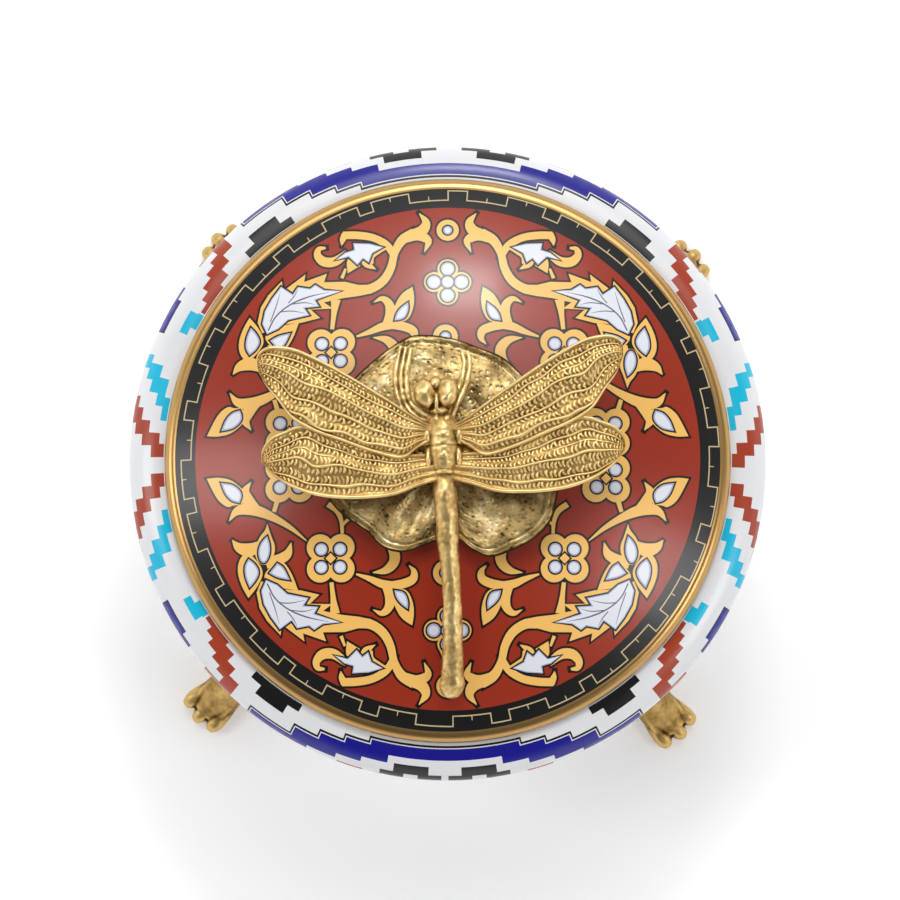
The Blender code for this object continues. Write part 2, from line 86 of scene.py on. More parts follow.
# Every colour of the porcelain, by the name that the drawing uses
PAINTS = [
    ("white", glaze("porcelain_white", 229, 230, 233)),
    ("red", glaze("red_ground", 155, 44, 18)),
    ("gold", glaze("gold_paint", 250, 196, 105)),
    ("line", glaze("black_line", 12, 9, 9)),
    ("black", glaze("black_ground", 6, 6, 7)),
    ("petal", glaze("petal_white", 230, 232, 240)),
    ("shade", glaze("petal_shade", 176, 186, 214)),
    ("vein", glaze("petal_vein", 92, 98, 118)),
    ("fret", glaze("fret_gold", 205, 184, 140)),
    ("blue", glaze("cobalt_blue", 14, 12, 140)),
    ("brick", glaze("brick_red", 166, 58, 28)),
    ("cyan", glaze("turquoise", 0, 186, 222)),
    ("gilt", plain("gilt_edge", srgb(196, 156, 98), roughness=0.3, metallic=1.0, coat=0.1)),
]
PAINT_INDEX = {name: i for i, (name, _) in enumerate(PAINTS)}


def placed(name, data):
    """New object in the scene."""
    ob = bpy.data.objects.new(name, data)
    bpy.context.scene.collection.objects.link(ob)
    return ob


class Skin:
    """Faces with a material and a normal at each corner, joined where corners meet."""

    def __init__(self):
        self.points, self.lookup, self.faces, self.normals, self.mats = [], {}, [], [], []

    def vert(self, p):
        key = tuple(round(q * SAME_PLACE) for q in p)
        if key not in self.lookup:
            self.lookup[key] = len(self.points)
            self.points.append((p[0] * MM, p[1] * MM, p[2] * MM))
        return self.lookup[key]

    def face(self, corners, normals, mat):
        ids = [self.vert(p) for p in corners]
        keep = [i for i in range(len(ids)) if ids[i] != ids[i - 1]]
        if len(keep) < 3 or len({ids[i] for i in keep}) < 3:
            return
        self.faces.append([ids[i] for i in keep])
        self.normals += [normals[i] for i in keep]
        self.mats.append(mat)

    def build(self, name, paints):
        mesh = bpy.data.meshes.new(name)
        mesh.from_pydata(self.points, [], self.faces)
        used = sorted(set(self.mats))
        for m in used:
            mesh.materials.append(paints[m][1])
        slot = {m: i for i, m in enumerate(used)}
        mesh.polygons.foreach_set("material_index", [slot[m] for m in self.mats])
        mesh.shade_smooth()
        mesh.normals_split_custom_set(self.normals)
        mesh.update()
        return placed(name, mesh)


def smooth_line(points, per=CURVE_STEPS):
    """Catmull-Rom curve through rows of numbers."""
    p = np.array(points, float)
    n = len(p)
    out = []
    for i in range(n - 1):
        b, c = p[i], p[i + 1]
        a = p[i - 1] if i else 2 * b - c
        d = p[i + 2] if i + 2 < n else 2 * c - b
        for k in range(per):
            t = k / per
            out.append(0.5 * (2 * b + (c - a) * t + (2 * a - 5 * b + 4 * c - d) * t * t
                              + (3 * b - a - 3 * c + d) * t ** 3))
    out.append(p[-1])
    return np.array(out)


def stroke(points, widths, extra=0.0):
    """Outline of a brush stroke that swells and tapers along a curve."""
    rows = smooth_line([(*p, w) for p, w in zip(points, widths)])
    xy, w = rows[:, :2], np.maximum(rows[:, 2], FINEST) / 2 + extra
    d = np.gradient(xy, axis=0)
    d /= np.linalg.norm(d, axis=1)[:, None]
    if extra:
        xy = xy.copy()
        xy[0] -= d[0] * extra
        xy[-1] += d[-1] * extra * 1.6
    n = np.stack([-d[:, 1], d[:, 0]], 1) * w[:, None]
    return np.vstack([xy + n, (xy - n)[::-1]])


def soften(points, sharp=105.0):
    """Rounds the corners of an outline, but keeps those of less than sharp degrees."""
    p = [np.array(q, float) for q in points]
    for _ in range(2):
        out = []
        for i, q in enumerate(p):
            a, b = p[i - 1] - q, p[(i + 1) % len(p)] - q
            cos = a @ b / (np.linalg.norm(a) * np.linalg.norm(b) + NO_LENGTH)
            if math.degrees(math.acos(max(-1, min(1, cos)))) < sharp:
                out.append(q)
            else:
                out += [q + a * 0.25, q + b * 0.25]
        p = out
    return np.array(p)


def signed_area(p):
    x, y = p[:, 0], p[:, 1]
    return 0.5 * float(np.sum(x * np.roll(y, -1) - np.roll(x, -1) * y))


def spread(points, by):
    """Outline moved outwards by a distance."""
    p = np.array(points, float)
    if signed_area(p) < 0:
        p = p[::-1]
    a, b = p - np.roll(p, 1, 0), np.roll(p, -1, 0) - p
    a /= np.linalg.norm(a, axis=1)[:, None] + NO_LENGTH
    b /= np.linalg.norm(b, axis=1)[:, None] + NO_LENGTH
    na, nb = np.stack([a[:, 1], -a[:, 0]], 1), np.stack([b[:, 1], -b[:, 0]], 1)
    m = na + nb
    m /= np.linalg.norm(m, axis=1)[:, None] + NO_LENGTH
    cos = np.maximum(np.sum(m * na, 1), 0.5)
    return p + m * (by / cos)[:, None]


def disc(x, y, radius, count=20):
    a = np.arange(count) * 2 * math.pi / count
    return np.stack([x + radius * np.cos(a), y + radius * np.sin(a)], 1)


def winding(points, outline):
    """Which points lie inside an outline, also where it crosses itself."""
    x, y = points[:, 0][:, None], points[:, 1][:, None]
    a, b = outline, np.roll(outline, -1, 0)
    left = (b[:, 0] - a[:, 0]) * (y - a[:, 1]) - (x - a[:, 0]) * (b[:, 1] - a[:, 1])
    up = (a[:, 1] <= y) & (b[:, 1] > y) & (left > 0)
    down = (a[:, 1] > y) & (b[:, 1] <= y) & (left < 0)
    return (up.sum(1) - down.sum(1)) != 0


def paint(shapes, loop, loose):
    """Cuts a flat convex sheet along the outlines of the shapes. shapes is [(outline, paint)], later ones
    lie on top; loop is the sheet's own outline and paint; loose are further points. Gives points and
    triangles with their paint."""
    points, edges, outlines = [], [], []
    for outline, colour in [loop] + list(shapes):
        p = np.array(outline, float)
        p = p[np.linalg.norm(p - np.roll(p, 1, 0), axis=1) > OUTLINE_NEAR]
        first, n = len(points), len(p)
        points += [Vector((float(x), float(y))) for x, y in p]
        edges += [(first + i, first + (i + 1) % n) for i in range(n)]
        outlines.append((p, colour))
    points += [Vector((float(x), float(y))) for x, y in loose]
    out, _, tris, _, _, _ = delaunay_2d_cdt(points, edges, [], 0, CUT_NEAR, False)
    flat = np.array([(v.x, v.y) for v in out])
    tris = np.array([tuple(t) for t in tris])
    middle = flat[tris].mean(1)
    colours = np.full(len(tris), loop[1])
    for p, colour in outlines[1:]:
        low, high = p.min(0), p.max(0)
        near = np.nonzero(np.all((middle >= low) & (middle <= high), 1))[0]
        if len(near):
            colours[near[winding(middle[near], p)]] = colour
    return ([(float(x), float(y)) for x, y in flat],
            [(tuple(int(i) for i in t), int(c)) for t, c in zip(tris, colours)])


# The lid: a red ground with gold scrollwork drawn in one quarter and mirrored, a black fret band and a gilt
# edge. Each motif of the front left quarter: kind, name, points in millimetres in plan, and widths.
MOTIFS = (
    ("stroke", "bud_stem", ((-30.51, -18.53), (-33.92, -15.76), (-37.33, -13.66), (-40.75, -12.08),
     (-43.7, -11.47), (-45.92, -12.03), (-47.41, -13.95)), (0.24, 0.97, 1.55, 2.23, 2.43, 1.65, 0.15)),
    ("stroke", "bud_hook", ((-41.25, -12.07), (-43.11, -9.88), (-43.89, -7.69), (-42.7, -5.67)),
     (2.14, 2.52, 1.84, 0.15)),
    ("poly", "bud_leaf", ((-52.43, -4.66), (-50.1, -4.41), (-47.13, -4.93), (-44.43, -7.1),
     (-43.89, -8.75), (-44.44, -10.59), (-46.65, -10.56), (-47.64, -11.13), (-49.62, -9.8),
     (-50.85, -7.84)), None),
    ("white", "bud_white", ((-49.26, -5.68), (-46.64, -6.01), (-44.92, -7.48), (-44.63, -8.75),
     (-45.17, -10.1), (-46.9, -9.69), (-48.37, -8.12)), None),
    ("poly", "cl_top", ((-39.05, -14.75), (-38.23, -17.42), (-37.35, -19.36), (-37.46, -21.29),
     (-38.6, -23.32), (-40.32, -23.69), (-41.64, -22.23), (-41.77, -19.81), (-40.68, -17.4),
     (-39.54, -16.2)), None),
    ("white", "cl_topw", ((-39.06, -17.41), (-38.43, -19.45), (-38.54, -21.53), (-39.44, -23.21),
     (-40.52, -23.01), (-41.14, -21.27), (-40.79, -19.33), (-39.8, -17.99)), None),
    ("stroke", "cl_lhook", ((-46.79, -18.07), (-45.32, -19.69), (-43.01, -20.28), (-40.54, -19.34)),
     (0.15, 2.04, 2.82, 1.94)),
    ("stroke", "cl_rhook", ((-33.83, -18.9), (-34.67, -21.31), (-36.64, -22.5), (-39.34, -23.21)),
     (0.15, 1.94, 2.23, 2.43)),
    ("poly", "cl_left", ((-43.5, -20.52), (-40.81, -23.2), (-39.84, -25.39), (-41.24, -28.29),
     (-43.24, -30.65), (-44.79, -28.02), (-45.7, -24.87), (-45.24, -22.2)), None),
    ("white", "cl_leftw", ((-43.17, -22.22), (-41.7, -23.3), (-40.73, -25.14), (-41.68, -27.07),
     (-42.97, -28.42), (-43.98, -26.09), (-44.11, -23.67)), None),
    ("poly", "cl_right", ((-40.04, -25.73), (-37.37, -23.03), (-35.66, -22.66), (-33.72, -25.42),
     (-32.37, -29.15), (-35.94, -28.65), (-39.12, -27.47)), None),
    ("white", "cl_rightw", ((-38.67, -25.35), (-36.89, -23.23), (-35.42, -24.11), (-34.17, -26.92),
     (-36.91, -26.42)), None),
    ("poly", "leaf_gold", ((-40.45, -27.08), (-38.63, -27.57), (-34.96, -28.94), (-31.79, -29.15),
     (-27.74, -30.13), (-29.8, -32.06), (-24.98, -32.17), (-26.93, -33.61), (-22.8, -34.49),
     (-19.4, -34.89), (-16.48, -35.47), (-16.49, -37.4), (-19.41, -37.4), (-22.33, -38.17),
     (-26.97, -38.17), (-26.34, -40.11), (-31.32, -38.35), (-31.04, -40.1), (-35.91, -36.4),
     (-36.23, -38.73), (-39.19, -35.57), (-40.79, -32.89), (-41.45, -29.5)), None),
    ("white", "leaf_white", ((-39.36, -26.79), (-36.92, -27.87), (-34.73, -29.82), (-30.09, -30.8),
     (-31.17, -32.44), (-27.95, -32.69), (-28.84, -34.19), (-23.05, -36.09), (-26.95, -36.42),
     (-28.87, -37.68), (-30.03, -36.8), (-32.68, -37.28), (-33.79, -35.63), (-36.41, -37.47),
     (-38.35, -34.84), (-39.9, -32.02), (-40.46, -29.11)), None),
    ("rib", "leaf_rib", ((-39.12, -27.57), (-37.43, -30.73), (-34.51, -33.16), (-30.6, -34.86),
     (-25.73, -35.94)), 0.34),
    ("rib", "leaf_rib2", ((-36.7, -31.7), (-34.01, -31.85), (-30.97, -31.28)), 0.24),
    ("rib", "leaf_rib3", ((-38.65, -29.51), (-37.45, -32.91), (-36.5, -36.3)), 0.24),
    ("rib", "leaf_rib4", ((-34.02, -33.4), (-31.08, -33.65), (-28.74, -33.13)), 0.24),
    ("rib", "leaf_rib5", ((-34.76, -33.64), (-33.54, -35.1), (-32.58, -36.8)), 0.24),
    ("stroke", "main_stem", ((-23.05, -36.53), (-19.4, -36.24), (-16.49, -36.63), (-13.97, -38.37),
     (-12.38, -41.18), (-11.57, -44.58), (-9.97, -47.49), (-7.3, -49.05)),
     (2.43, 2.23, 2.04, 1.94, 1.75, 1.65, 2.14, 2.52)),
    ("stroke", "fork_up", ((-9.24, -47.98), (-6.57, -48.56), (-4.28, -47.3), (-5.06, -44.77)),
     (2.14, 2.23, 1.65, 0.15)),
    ("stroke", "fork_down", ((-8.27, -48.47), (-5.6, -49.68), (-4.78, -51.63), (-6.24, -53.73)),
     (2.43, 2.43, 1.75, 0.15)),
    ("stroke", "tul_cup", ((-22.9, -48.86), (-19.48, -48.76), (-16.06, -48.08), (-13.13, -46.23),
     (-11.56, -43.37)), (1.75, 1.75, 1.65, 1.65, 1.17)),
    ("stroke", "tul_lip", ((-22.41, -49.25), (-22.98, -47.79), (-23.17, -46.52)), (1.46, 1.26, 0.15)),
    ("stroke", "tul_band", ((-21.89, -44.82), (-24.56, -42.88), (-27.0, -42.87), (-28.43, -44.33),
     (-28.15, -45.79), (-26.69, -46.04)), (1.46, 2.14, 2.14, 1.65, 1.17, 0.49)),
    ("poly", "tul_top", ((-21.76, -40.11), (-19.04, -41.76), (-19.93, -43.85), (-21.39, -43.85),
     (-22.12, -42.63)), None),
    ("stroke", "tul_right", ((-18.23, -43.85), (-17.58, -42.15), (-15.68, -40.94)), (1.94, 1.65, 0.15)),
    ("stroke", "tul_curl", ((-13.13, -46.52), (-15.07, -45.06), (-16.43, -43.85), (-16.51, -42.15)),
     (1.46, 1.17, 0.97, 0.58)),
    ("white", "tul_white", ((-24.56, -43.12), (-21.64, -43.85), (-19.68, -41.96), (-18.47, -43.41),
     (-17.2, -42.44), (-16.43, -44.58), (-14.0, -45.94), (-17.03, -46.81), (-20.68, -47.01),
     (-20.43, -45.45), (-22.38, -44.87)), None),
    ("stroke", "tul_stem", ((-23.07, -39.0), (-22.69, -39.97), (-22.25, -41.18)), (0.78, 0.68, 0.49)),
    ("quat", "quat", (-25.27, -22.37), (2.3, 2.88, 1.5)),
    ("stroke", "quat_stem", ((-25.1, -27.53), (-24.73, -31.01), (-24.36, -34.2)), (0.87, 1.17, 2.14)),
    ("stroke", "br_stem", ((-19.75, -25.81), (-16.94, -26.78), (-14.28, -27.9), (-11.37, -28.53)),
     (0.39, 1.17, 1.75, 2.04)),
    ("stroke", "br_up", ((-12.83, -28.52), (-9.68, -27.95), (-7.55, -26.99), (-7.26, -25.35),
     (-8.32, -24.0)), (1.94, 1.94, 1.84, 1.26, 0.15)),
    ("stroke", "br_down", ((-13.31, -28.14), (-12.4, -30.79), (-12.79, -33.06), (-14.25, -34.22),
     (-16.09, -33.44)), (1.84, 2.23, 1.84, 1.17, 0.15)),
    ("poly", "br_leaf", ((-11.86, -28.72), (-8.71, -29.11), (-7.46, -31.76), (-7.22, -34.42),
     (-7.66, -36.83), (-9.89, -35.48), (-11.24, -33.25), (-11.91, -31.03)), None),
    ("white", "br_white", ((-11.52, -29.3), (-9.29, -29.59), (-8.43, -31.76), (-8.62, -33.35),
     (-10.17, -32.24), (-11.23, -30.79)), None),
    ("stroke", "inner_hook", ((-14.01, -17.54), (-11.84, -20.43), (-11.51, -23.08), (-13.3, -25.01),
     (-16.16, -25.53)), (1.65, 2.14, 2.23, 1.65, 0.15)),
    ("stroke", "inner_fork", ((-25.87, -10.75), (-23.93, -12.2), (-22.96, -14.38), (-22.73, -17.12)),
     (1.26, 1.17, 0.87, 0.68)),
    ("stroke", "inner_fork2", ((-19.33, -12.71), (-21.27, -13.9), (-22.72, -15.34)), (0.87, 0.78, 0.49)),
    ("quat", "quat2", (-34.28, -5.03), (2.3, 2.88, 1.5)),
    ("stroke", "quat2_stem", ((-36.83, -9.6), (-37.62, -12.2)), (1.07, 0.87)),
    ("axis", "axis_flower", (-0.01, -37.9), (2.91, 2.23, 1.46)),
    ("ring", "axis_ring", (-0.01, -49.78), (2.43, 0.97)),
    ("ring", "axis_inner", (-0.49, -25.64), (2.67, 1.07)),
    ("stroke", "axis_tip", ((-0.98, -41.43), (-0.59, -43.37), (-0.2, -45.06)), (1.94, 1.26, 0.15)),
)


LINE_W = 0.48                # width of the black line round the gold
WHITE_LINE_W = 0.36          # and of the one round the white
QUAT_ACROSS, QUAT_ALONG = 2.03, 1.92     # the four white dots of a quatrefoil, from its middle
QUAT_LINE, QUAT_GOLD = 1.62, 1.12        # half widths of the square in its middle
JAGGED = ("leaf_gold", "leaf_white", "tul_white")


def add_white(high, outline, inset):
    """A white shape with a black line round it and a shaded edge."""
    high.append((spread(outline, WHITE_LINE_W), "line"))
    high.append((outline, "shade"))
    high.append((spread(outline, -inset), "petal"))


def motif_layers(kind, name, points, widths):
    """Outline shapes, then gold shapes, then what is painted over the gold."""
    low, gold, high = [], [], []

    def gold_disc(x, y, radius, count):
        low.append((disc(x, y, radius + LINE_W, count), "line"))
        gold.append((disc(x, y, radius, count), "gold"))

    if kind == "stroke":
        low.append((stroke(points, widths, LINE_W), "line"))
        gold.append((stroke(points, widths), "gold"))
    elif kind == "poly":
        shape = np.array(points) if name in JAGGED else soften(points)
        low.append((spread(shape, LINE_W), "line"))
        gold.append((shape, "gold"))
    elif kind == "white":
        shape = np.array(points) if name in JAGGED else soften(points)
        add_white(high, shape, 0.22 if name in JAGGED else 0.34)
    elif kind == "rib":
        high.append((stroke(points, [widths * 0.9] * (len(points) - 1) + [FINEST]), "vein"))
    elif kind == "quat":
        (x, y), (off, lobe, dot) = points, widths
        for sx in (-1, 1):
            for sy in (-1, 1):
                gold_disc(x + sx * off, y + sy * off, lobe, 28)
                add_white(high, disc(x + sx * QUAT_ACROSS, y + sy * QUAT_ALONG, dot * 0.88), 0.3)
        gold.append((disc(x, y, off, 16), "gold"))
        high += [(disc(x, y, QUAT_LINE, 4), "line"), (disc(x, y, QUAT_GOLD, 4), "gold")]
    elif kind == "axis":
        (x, y), (off, lobe, dot) = points, widths
        for dx, dy in ((1, 0), (-1, 0), (0, 1), (0, -1)):
            gold_disc(x + dx * off, y + dy * off, lobe, 28)
            add_white(high, disc(x + dx * (off + 0.1), y + dy * (off + 0.1), dot), 0.4)
        gold.append((disc(x, y, off * 0.8), "gold"))
        add_white(high, disc(x, y, dot * 0.88), 0.36)
    elif kind == "ring":
        (x, y), (radius, dot) = points, widths
        gold_disc(x, y, radius, 32)
        add_white(high, disc(x, y, dot), 0.36)
    return low, gold, high


GOLD_R = 59.5                # where the black band meets the gilt edge


def dome_z(r):
    return CROWN_Z - BALL + math.sqrt(BALL ** 2 - r * r)


def dome_normal(x, y):
    return Vector((x, y, math.sqrt(BALL ** 2 - x * x - y * y))).normalized()


# The fret in the black band: its own middle, its two levels, the angles of its repeats, the angles from the
# middle of a repeat at which the line crosses from level to level, and its ticks (angle, level, length).
FRET_MIDDLE, FRET_OUTER, FRET_INNER, FRET_LINE = (0.55, 0.3), 58.7, 56.5, 0.27
FRET_CENTRES = (4.4, 46.1, 88.4, 129.3, 169.9, 211.6, 252.3, 280.9, 321.7)
FRET_TURNS = (2.0, 10.3, 18.3)
FRET_REACH, FRET_FULL, FRET_SHORT = 19.85, 21.0, 18.0    # half a repeat: as drawn, at most, and unscaled below
FRET_TICKS = ((6.15, FRET_INNER, 1.05), (14.3, FRET_OUTER, -1.05))


def fret_shapes():
    def at(angle, r):
        t = math.radians(angle)
        return FRET_MIDDLE[0] + r * math.cos(t), FRET_MIDDLE[1] + r * math.sin(t)

    def bar(a, b, r):
        steps = [a + (b - a) * i / 8 for i in range(9)]
        return np.array([at(t, r + FRET_LINE / 2) for t in steps]
                        + [at(t, r - FRET_LINE / 2) for t in steps[::-1]])

    def post(angle, low, high, taper=1.0):
        return np.array([at(angle - half, low), at(angle + half, low),
                         at(angle + half * taper, high), at(angle - half * taper, high)])

    half = math.degrees(FRET_LINE / ((FRET_OUTER + FRET_INNER) / 2)) / 2
    out = []
    for c in FRET_CENTRES:
        after = min((d - c) % 360 for d in FRET_CENTRES if d != c) / 2
        before = min((c - d) % 360 for d in FRET_CENTRES if d != c) / 2
        for side, reach in ((1, after), (-1, before)):
            scale = min(reach, FRET_FULL) / FRET_REACH if reach > FRET_SHORT else 1.0
            turns = [0.0] + [t * scale for t in FRET_TURNS if t * scale < reach]
            for k, t in enumerate(turns):
                end = turns[k + 1] if k + 1 < len(turns) else reach + 0.01
                level = FRET_OUTER if k % 2 == 0 else FRET_INNER
                lo, hi = sorted((c + side * (t - 0.02), c + side * (end + 0.02)))
                out.append(bar(lo, hi, level))
                if k:
                    out.append(post(c + side * t, FRET_INNER - FRET_LINE / 2, FRET_OUTER + FRET_LINE / 2))
            for t, level, long in FRET_TICKS:
                if t * scale < reach - 1.0:
                    out.append(post(c + side * t * scale, level, level + long, 0.6))
    return out


def revolve_into(skin, profile, normals, angles, mats):
    """Turned strips. normals gives the (radial, up) pair at each end of each strip."""
    n = len(angles)
    for k in range(len(profile) - 1):
        (ra, za), (rb, zb) = profile[k], profile[k + 1]
        na, nb = normals[k]
        for i in range(n):
            corners, norms = [], []
            for a, (r, z), nn in ((angles[i], (ra, za), na), (angles[(i + 1) % n], (ra, za), na),
                                  (angles[(i + 1) % n], (rb, zb), nb), (angles[i], (rb, zb), nb)):
                t = math.radians(a)
                corners.append((r * math.cos(t), r * math.sin(t), z))
                norms.append((nn[0] * math.cos(t), nn[0] * math.sin(t), nn[1]))
            a, b, c, d = (Vector(p) for p in corners)
            cross = (b - a).cross(c - a) + (c - a).cross(d - a)
            if cross.dot(Vector(norms[0]) + Vector(norms[2])) < 0:
                corners, norms = corners[::-1], norms[::-1]
            skin.face(corners, norms, mats[k])


def turned(profile, soft):
    """Normals of a profile that is walked with the solid on its left. soft rows share one normal."""
    p = np.array(profile, float)
    d = np.diff(p, axis=0)
    n = np.stack([d[:, 1], -d[:, 0]], 1)
    n /= np.linalg.norm(n, axis=1)[:, None] + NO_LENGTH
    out = []
    for k in range(len(n)):
        a = n[k] + n[k - 1] if k and soft(k) else n[k]
        b = n[k] + n[k + 1] if k + 1 < len(n) and soft(k + 1) else n[k]
        out.append((a / np.linalg.norm(a), b / np.linalg.norm(b)))
    return out


def ellipse(cr, cz, a, b, start, end, count):
    """Part of an ellipse in the profile, from one angle to another in degrees."""
    out = []
    for i in range(count):
        t = math.radians(start + (end - start) * i / (count - 1))
        out.append((cr + a * math.cos(t), cz + b * math.sin(t)))
    return out


def make_lid():
    """The lid: the painted dome, the gilt edge, the flange and the hollow underside."""
    low, gold, high = [], [], []
    for kind, name, points, widths in MOTIFS:
        alone = name.startswith("axis")
        for sx in ((1,) if alone else (1, -1)):
            for sy in (1, -1):
                if name == "axis_tip" and sy < 0:
                    continue
                for store, layer in zip((low, gold, high), motif_layers(kind, name, points, widths)):
                    store += [(np.array(p) * (sx, sy), c) for p, c in layer]
    ground = [(disc(0, 0, RED_R, 360), "red")]
    shapes = [(p, PAINT_INDEX[c]) for p, c in ground + low + gold + high]
    shapes += [(p, PAINT_INDEX["fret"]) for p in fret_shapes()]
    angles = [k * 1.5 for k in range(240)]
    loop = np.array([(GOLD_R * math.cos(math.radians(a)), GOLD_R * math.sin(math.radians(a))) for a in angles])
    loose = [(0.0, 0.0)]
    step = 2.2 if FINE else 4.0
    for k in range(1, int(GOLD_R / step) + 1):
        count = max(8, int(2 * math.pi * k))
        loose += [(k * step * math.cos(2 * math.pi * (i + 0.5 * (k % 2)) / count),
                   k * step * math.sin(2 * math.pi * (i + 0.5 * (k % 2)) / count)) for i in range(count)]
    points, tris = paint(shapes, (loop, PAINT_INDEX["black"]), loose)
    skin = Skin()
    for tri, colour in tris:
        ring = [points[i] for i in tri]
        area = sum(a[0] * b[1] - b[0] * a[1] for a, b in zip(ring, ring[1:] + ring[:1]))
        if area < 0:
            ring = ring[::-1]
        skin.face([(x, y, dome_z(min(DOME_R, math.hypot(x, y)))) for x, y in ring],
                  [tuple(dome_normal(x, y)) for x, y in ring], colour)
    band = [(r, dome_z(r)) for r in (GOLD_R, DOME_R)]
    lean = [(r / BALL, math.sqrt(1 - (r / BALL) ** 2)) for r, _ in band]
    normals = list(zip(lean, lean[1:]))
    revolve_into(skin, band, normals, angles, [PAINT_INDEX["gilt"]])
    edge = ellipse(DOME_R, SEAT_Z + LID_EDGE_H * 0.25, LID_EDGE_W, LID_EDGE_H * 0.75, 90, 0, 9)
    small = BALL - LID_WALL
    inner = FLANGE_R - FLANGE_WALL
    under = [(inner * (9 - i) / 9, CROWN_Z - BALL + math.sqrt(small ** 2 - (inner * (9 - i) / 9) ** 2))
             for i in range(10)]
    rest = edge + [(LID_R, SEAT_Z), (FLANGE_R, SEAT_Z), (FLANGE_R, SEAT_Z - FLANGE_DEPTH + 0.4),
                   (FLANGE_R - 0.4, SEAT_Z - FLANGE_DEPTH), (inner, SEAT_Z - FLANGE_DEPTH)] + under
    norms = turned(rest[::-1], lambda k: k > len(rest) - 10 or k < 9)
    norms = [(b, a) for a, b in norms[::-1]]
    mats = [PAINT_INDEX["gilt"]] * 9 + [PAINT_INDEX["white"]] * (len(rest) - 10)
    revolve_into(skin, rest, norms, angles, mats)
    ob = skin.build("lid_painted", PAINTS)
    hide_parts("lid")
    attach(ob, "root")


# The bowl: a stepped weave pattern in colours on white. Angles are from the front or back middle (0) to the
# side (90) in degrees, lengths run down the outside from the rim in millimetres.
# Each box is (angle, angle, length, length). A repeat is a band and its mirror image below it.
REPEAT = 22.0
TRAY = ((0, 11.6, 1.05, 3.6), (0, 16.05, 1.05, 5.4), (11.6, 16.5, 2.2, 5.4), (11.6, 20.95, 2.2, 6.7),
        (16.5, 21.2, 3.5, 6.7), (16.5, 25.8, 3.5, 8.1), (21.2, 26.7, 5.1, 8.1), (21.2, 30.7, 5.1, 9.6),
        (26.7, 35.1, 7.6, 9.6), (26.7, 39.4, 7.6, 11.0))
TRAY_CUT = ((0, 12.2, 3.6, 5.5), (0, 17.1, 5.4, 6.8), (0, 21.8, 6.7, 8.2), (0, 27.3, 8.1, 9.7),
            (0, 34.2, 9.6, 11.0))
BLACK_BLOCKS = ((31.6, 43.2, 0, 1.75), (34.1, 40.6, 1.7, 3.9), (4.35, 10.9, 5.2, 7.4), (1.95, 13.3, 7.4, 9.3))
BLACK_NOTCH = ((6.3, 8.9, 7.7, 9.3),)
BRICK = ((16.4, 21.3, 8.9, 11.0), (51.2, 57.95, 0, 1.0), (48.65, 55.8, 0.9, 2.3), (48.65, 53.8, 2.2, 3.0),
         (46.45, 53.8, 2.9, 3.7), (46.45, 51.3, 3.6, 5.05), (43.95, 49.05, 4.95, 6.3), (43.95, 47.05, 6.2, 8.5),
         (43.95, 50.75, 8.4, 11.0), (85.7, 88.4, 0, 1.2), (83.6, 88.4, 1.1, 2.9), (83.6, 86.1, 2.9, 3.7),
         (81.3, 86.1, 3.6, 5.2), (81.3, 84.0, 5.2, 5.9), (79.0, 84.0, 5.8, 7.4), (76.9, 81.9, 7.4, 9.2),
         (74.6, 79.2, 9.2, 11.0))
CYAN = ((58.3, 61.6, 0, 1.4), (58.6, 63.3, 1.3, 3.2), (76.4, 81.1, 0, 1.4), (72.8, 78.3, 1.3, 3.1),
        (72.8, 75.9, 3.0, 3.7), (70.5, 75.9, 3.6, 5.2), (70.5, 73.6, 5.1, 6.9), (69.0, 71.6, 6.8, 11.0))
BLUE = ((57.9, 64.4, 6.9, 9.4), (55.4, 57.9, 8.2, 9.4))
BOX_TURN, BOX_DROP = 1.5, 1.2    # most degrees and millimetres between the points of a box's edge


def laid(angle):
    """Where an angle of the even pattern lies on the bowl: the band was laid on from the back, stretched
    a little, and trimmed where its ends meet at the front."""
    angle %= 360
    back = angle < 180
    pole = 90.0 if back else 270.0
    off = angle - pole
    x = abs(off)
    part = x / 90
    shift = 1.3 + 0.8 * part
    if back:
        x = x * 1.18 if x < 7.55 else x + shift
        turn = 0.2 + 0.85 * part
    else:
        x = x * 0.305 if x < 1.9 else x - shift
        turn = 0.5 + 0.55 * part ** 3
    return pole + math.copysign(x, off) - turn


def body_line():
    """Outside of the bowl from the rim to the base, with the length run and the normals."""
    line, norm = [], []
    for middle, a, b, start, end, count in ((RIM_R, BODY_R - RIM_R, RIM_Z - WIDEST_Z, 90, 0, 60),
                                            (BASE_R, BODY_R - BASE_R, WIDEST_Z - BASE_Z, 0, -90, 160)):
        first = 1 if line else 0         # the second part starts where the first ends
        line += ellipse(middle, WIDEST_Z, a, b, start, end, count)[first:]
        for i in range(first, count):
            t = math.radians(start + (end - start) * i / (count - 1))
            v = np.array([math.cos(t) / a, math.sin(t) / b])
            norm.append(v / np.linalg.norm(v))
    p = np.array(line)
    run = np.concatenate([[0], np.cumsum(np.linalg.norm(np.diff(p, axis=0), axis=1))])
    return p, run, np.array(norm)


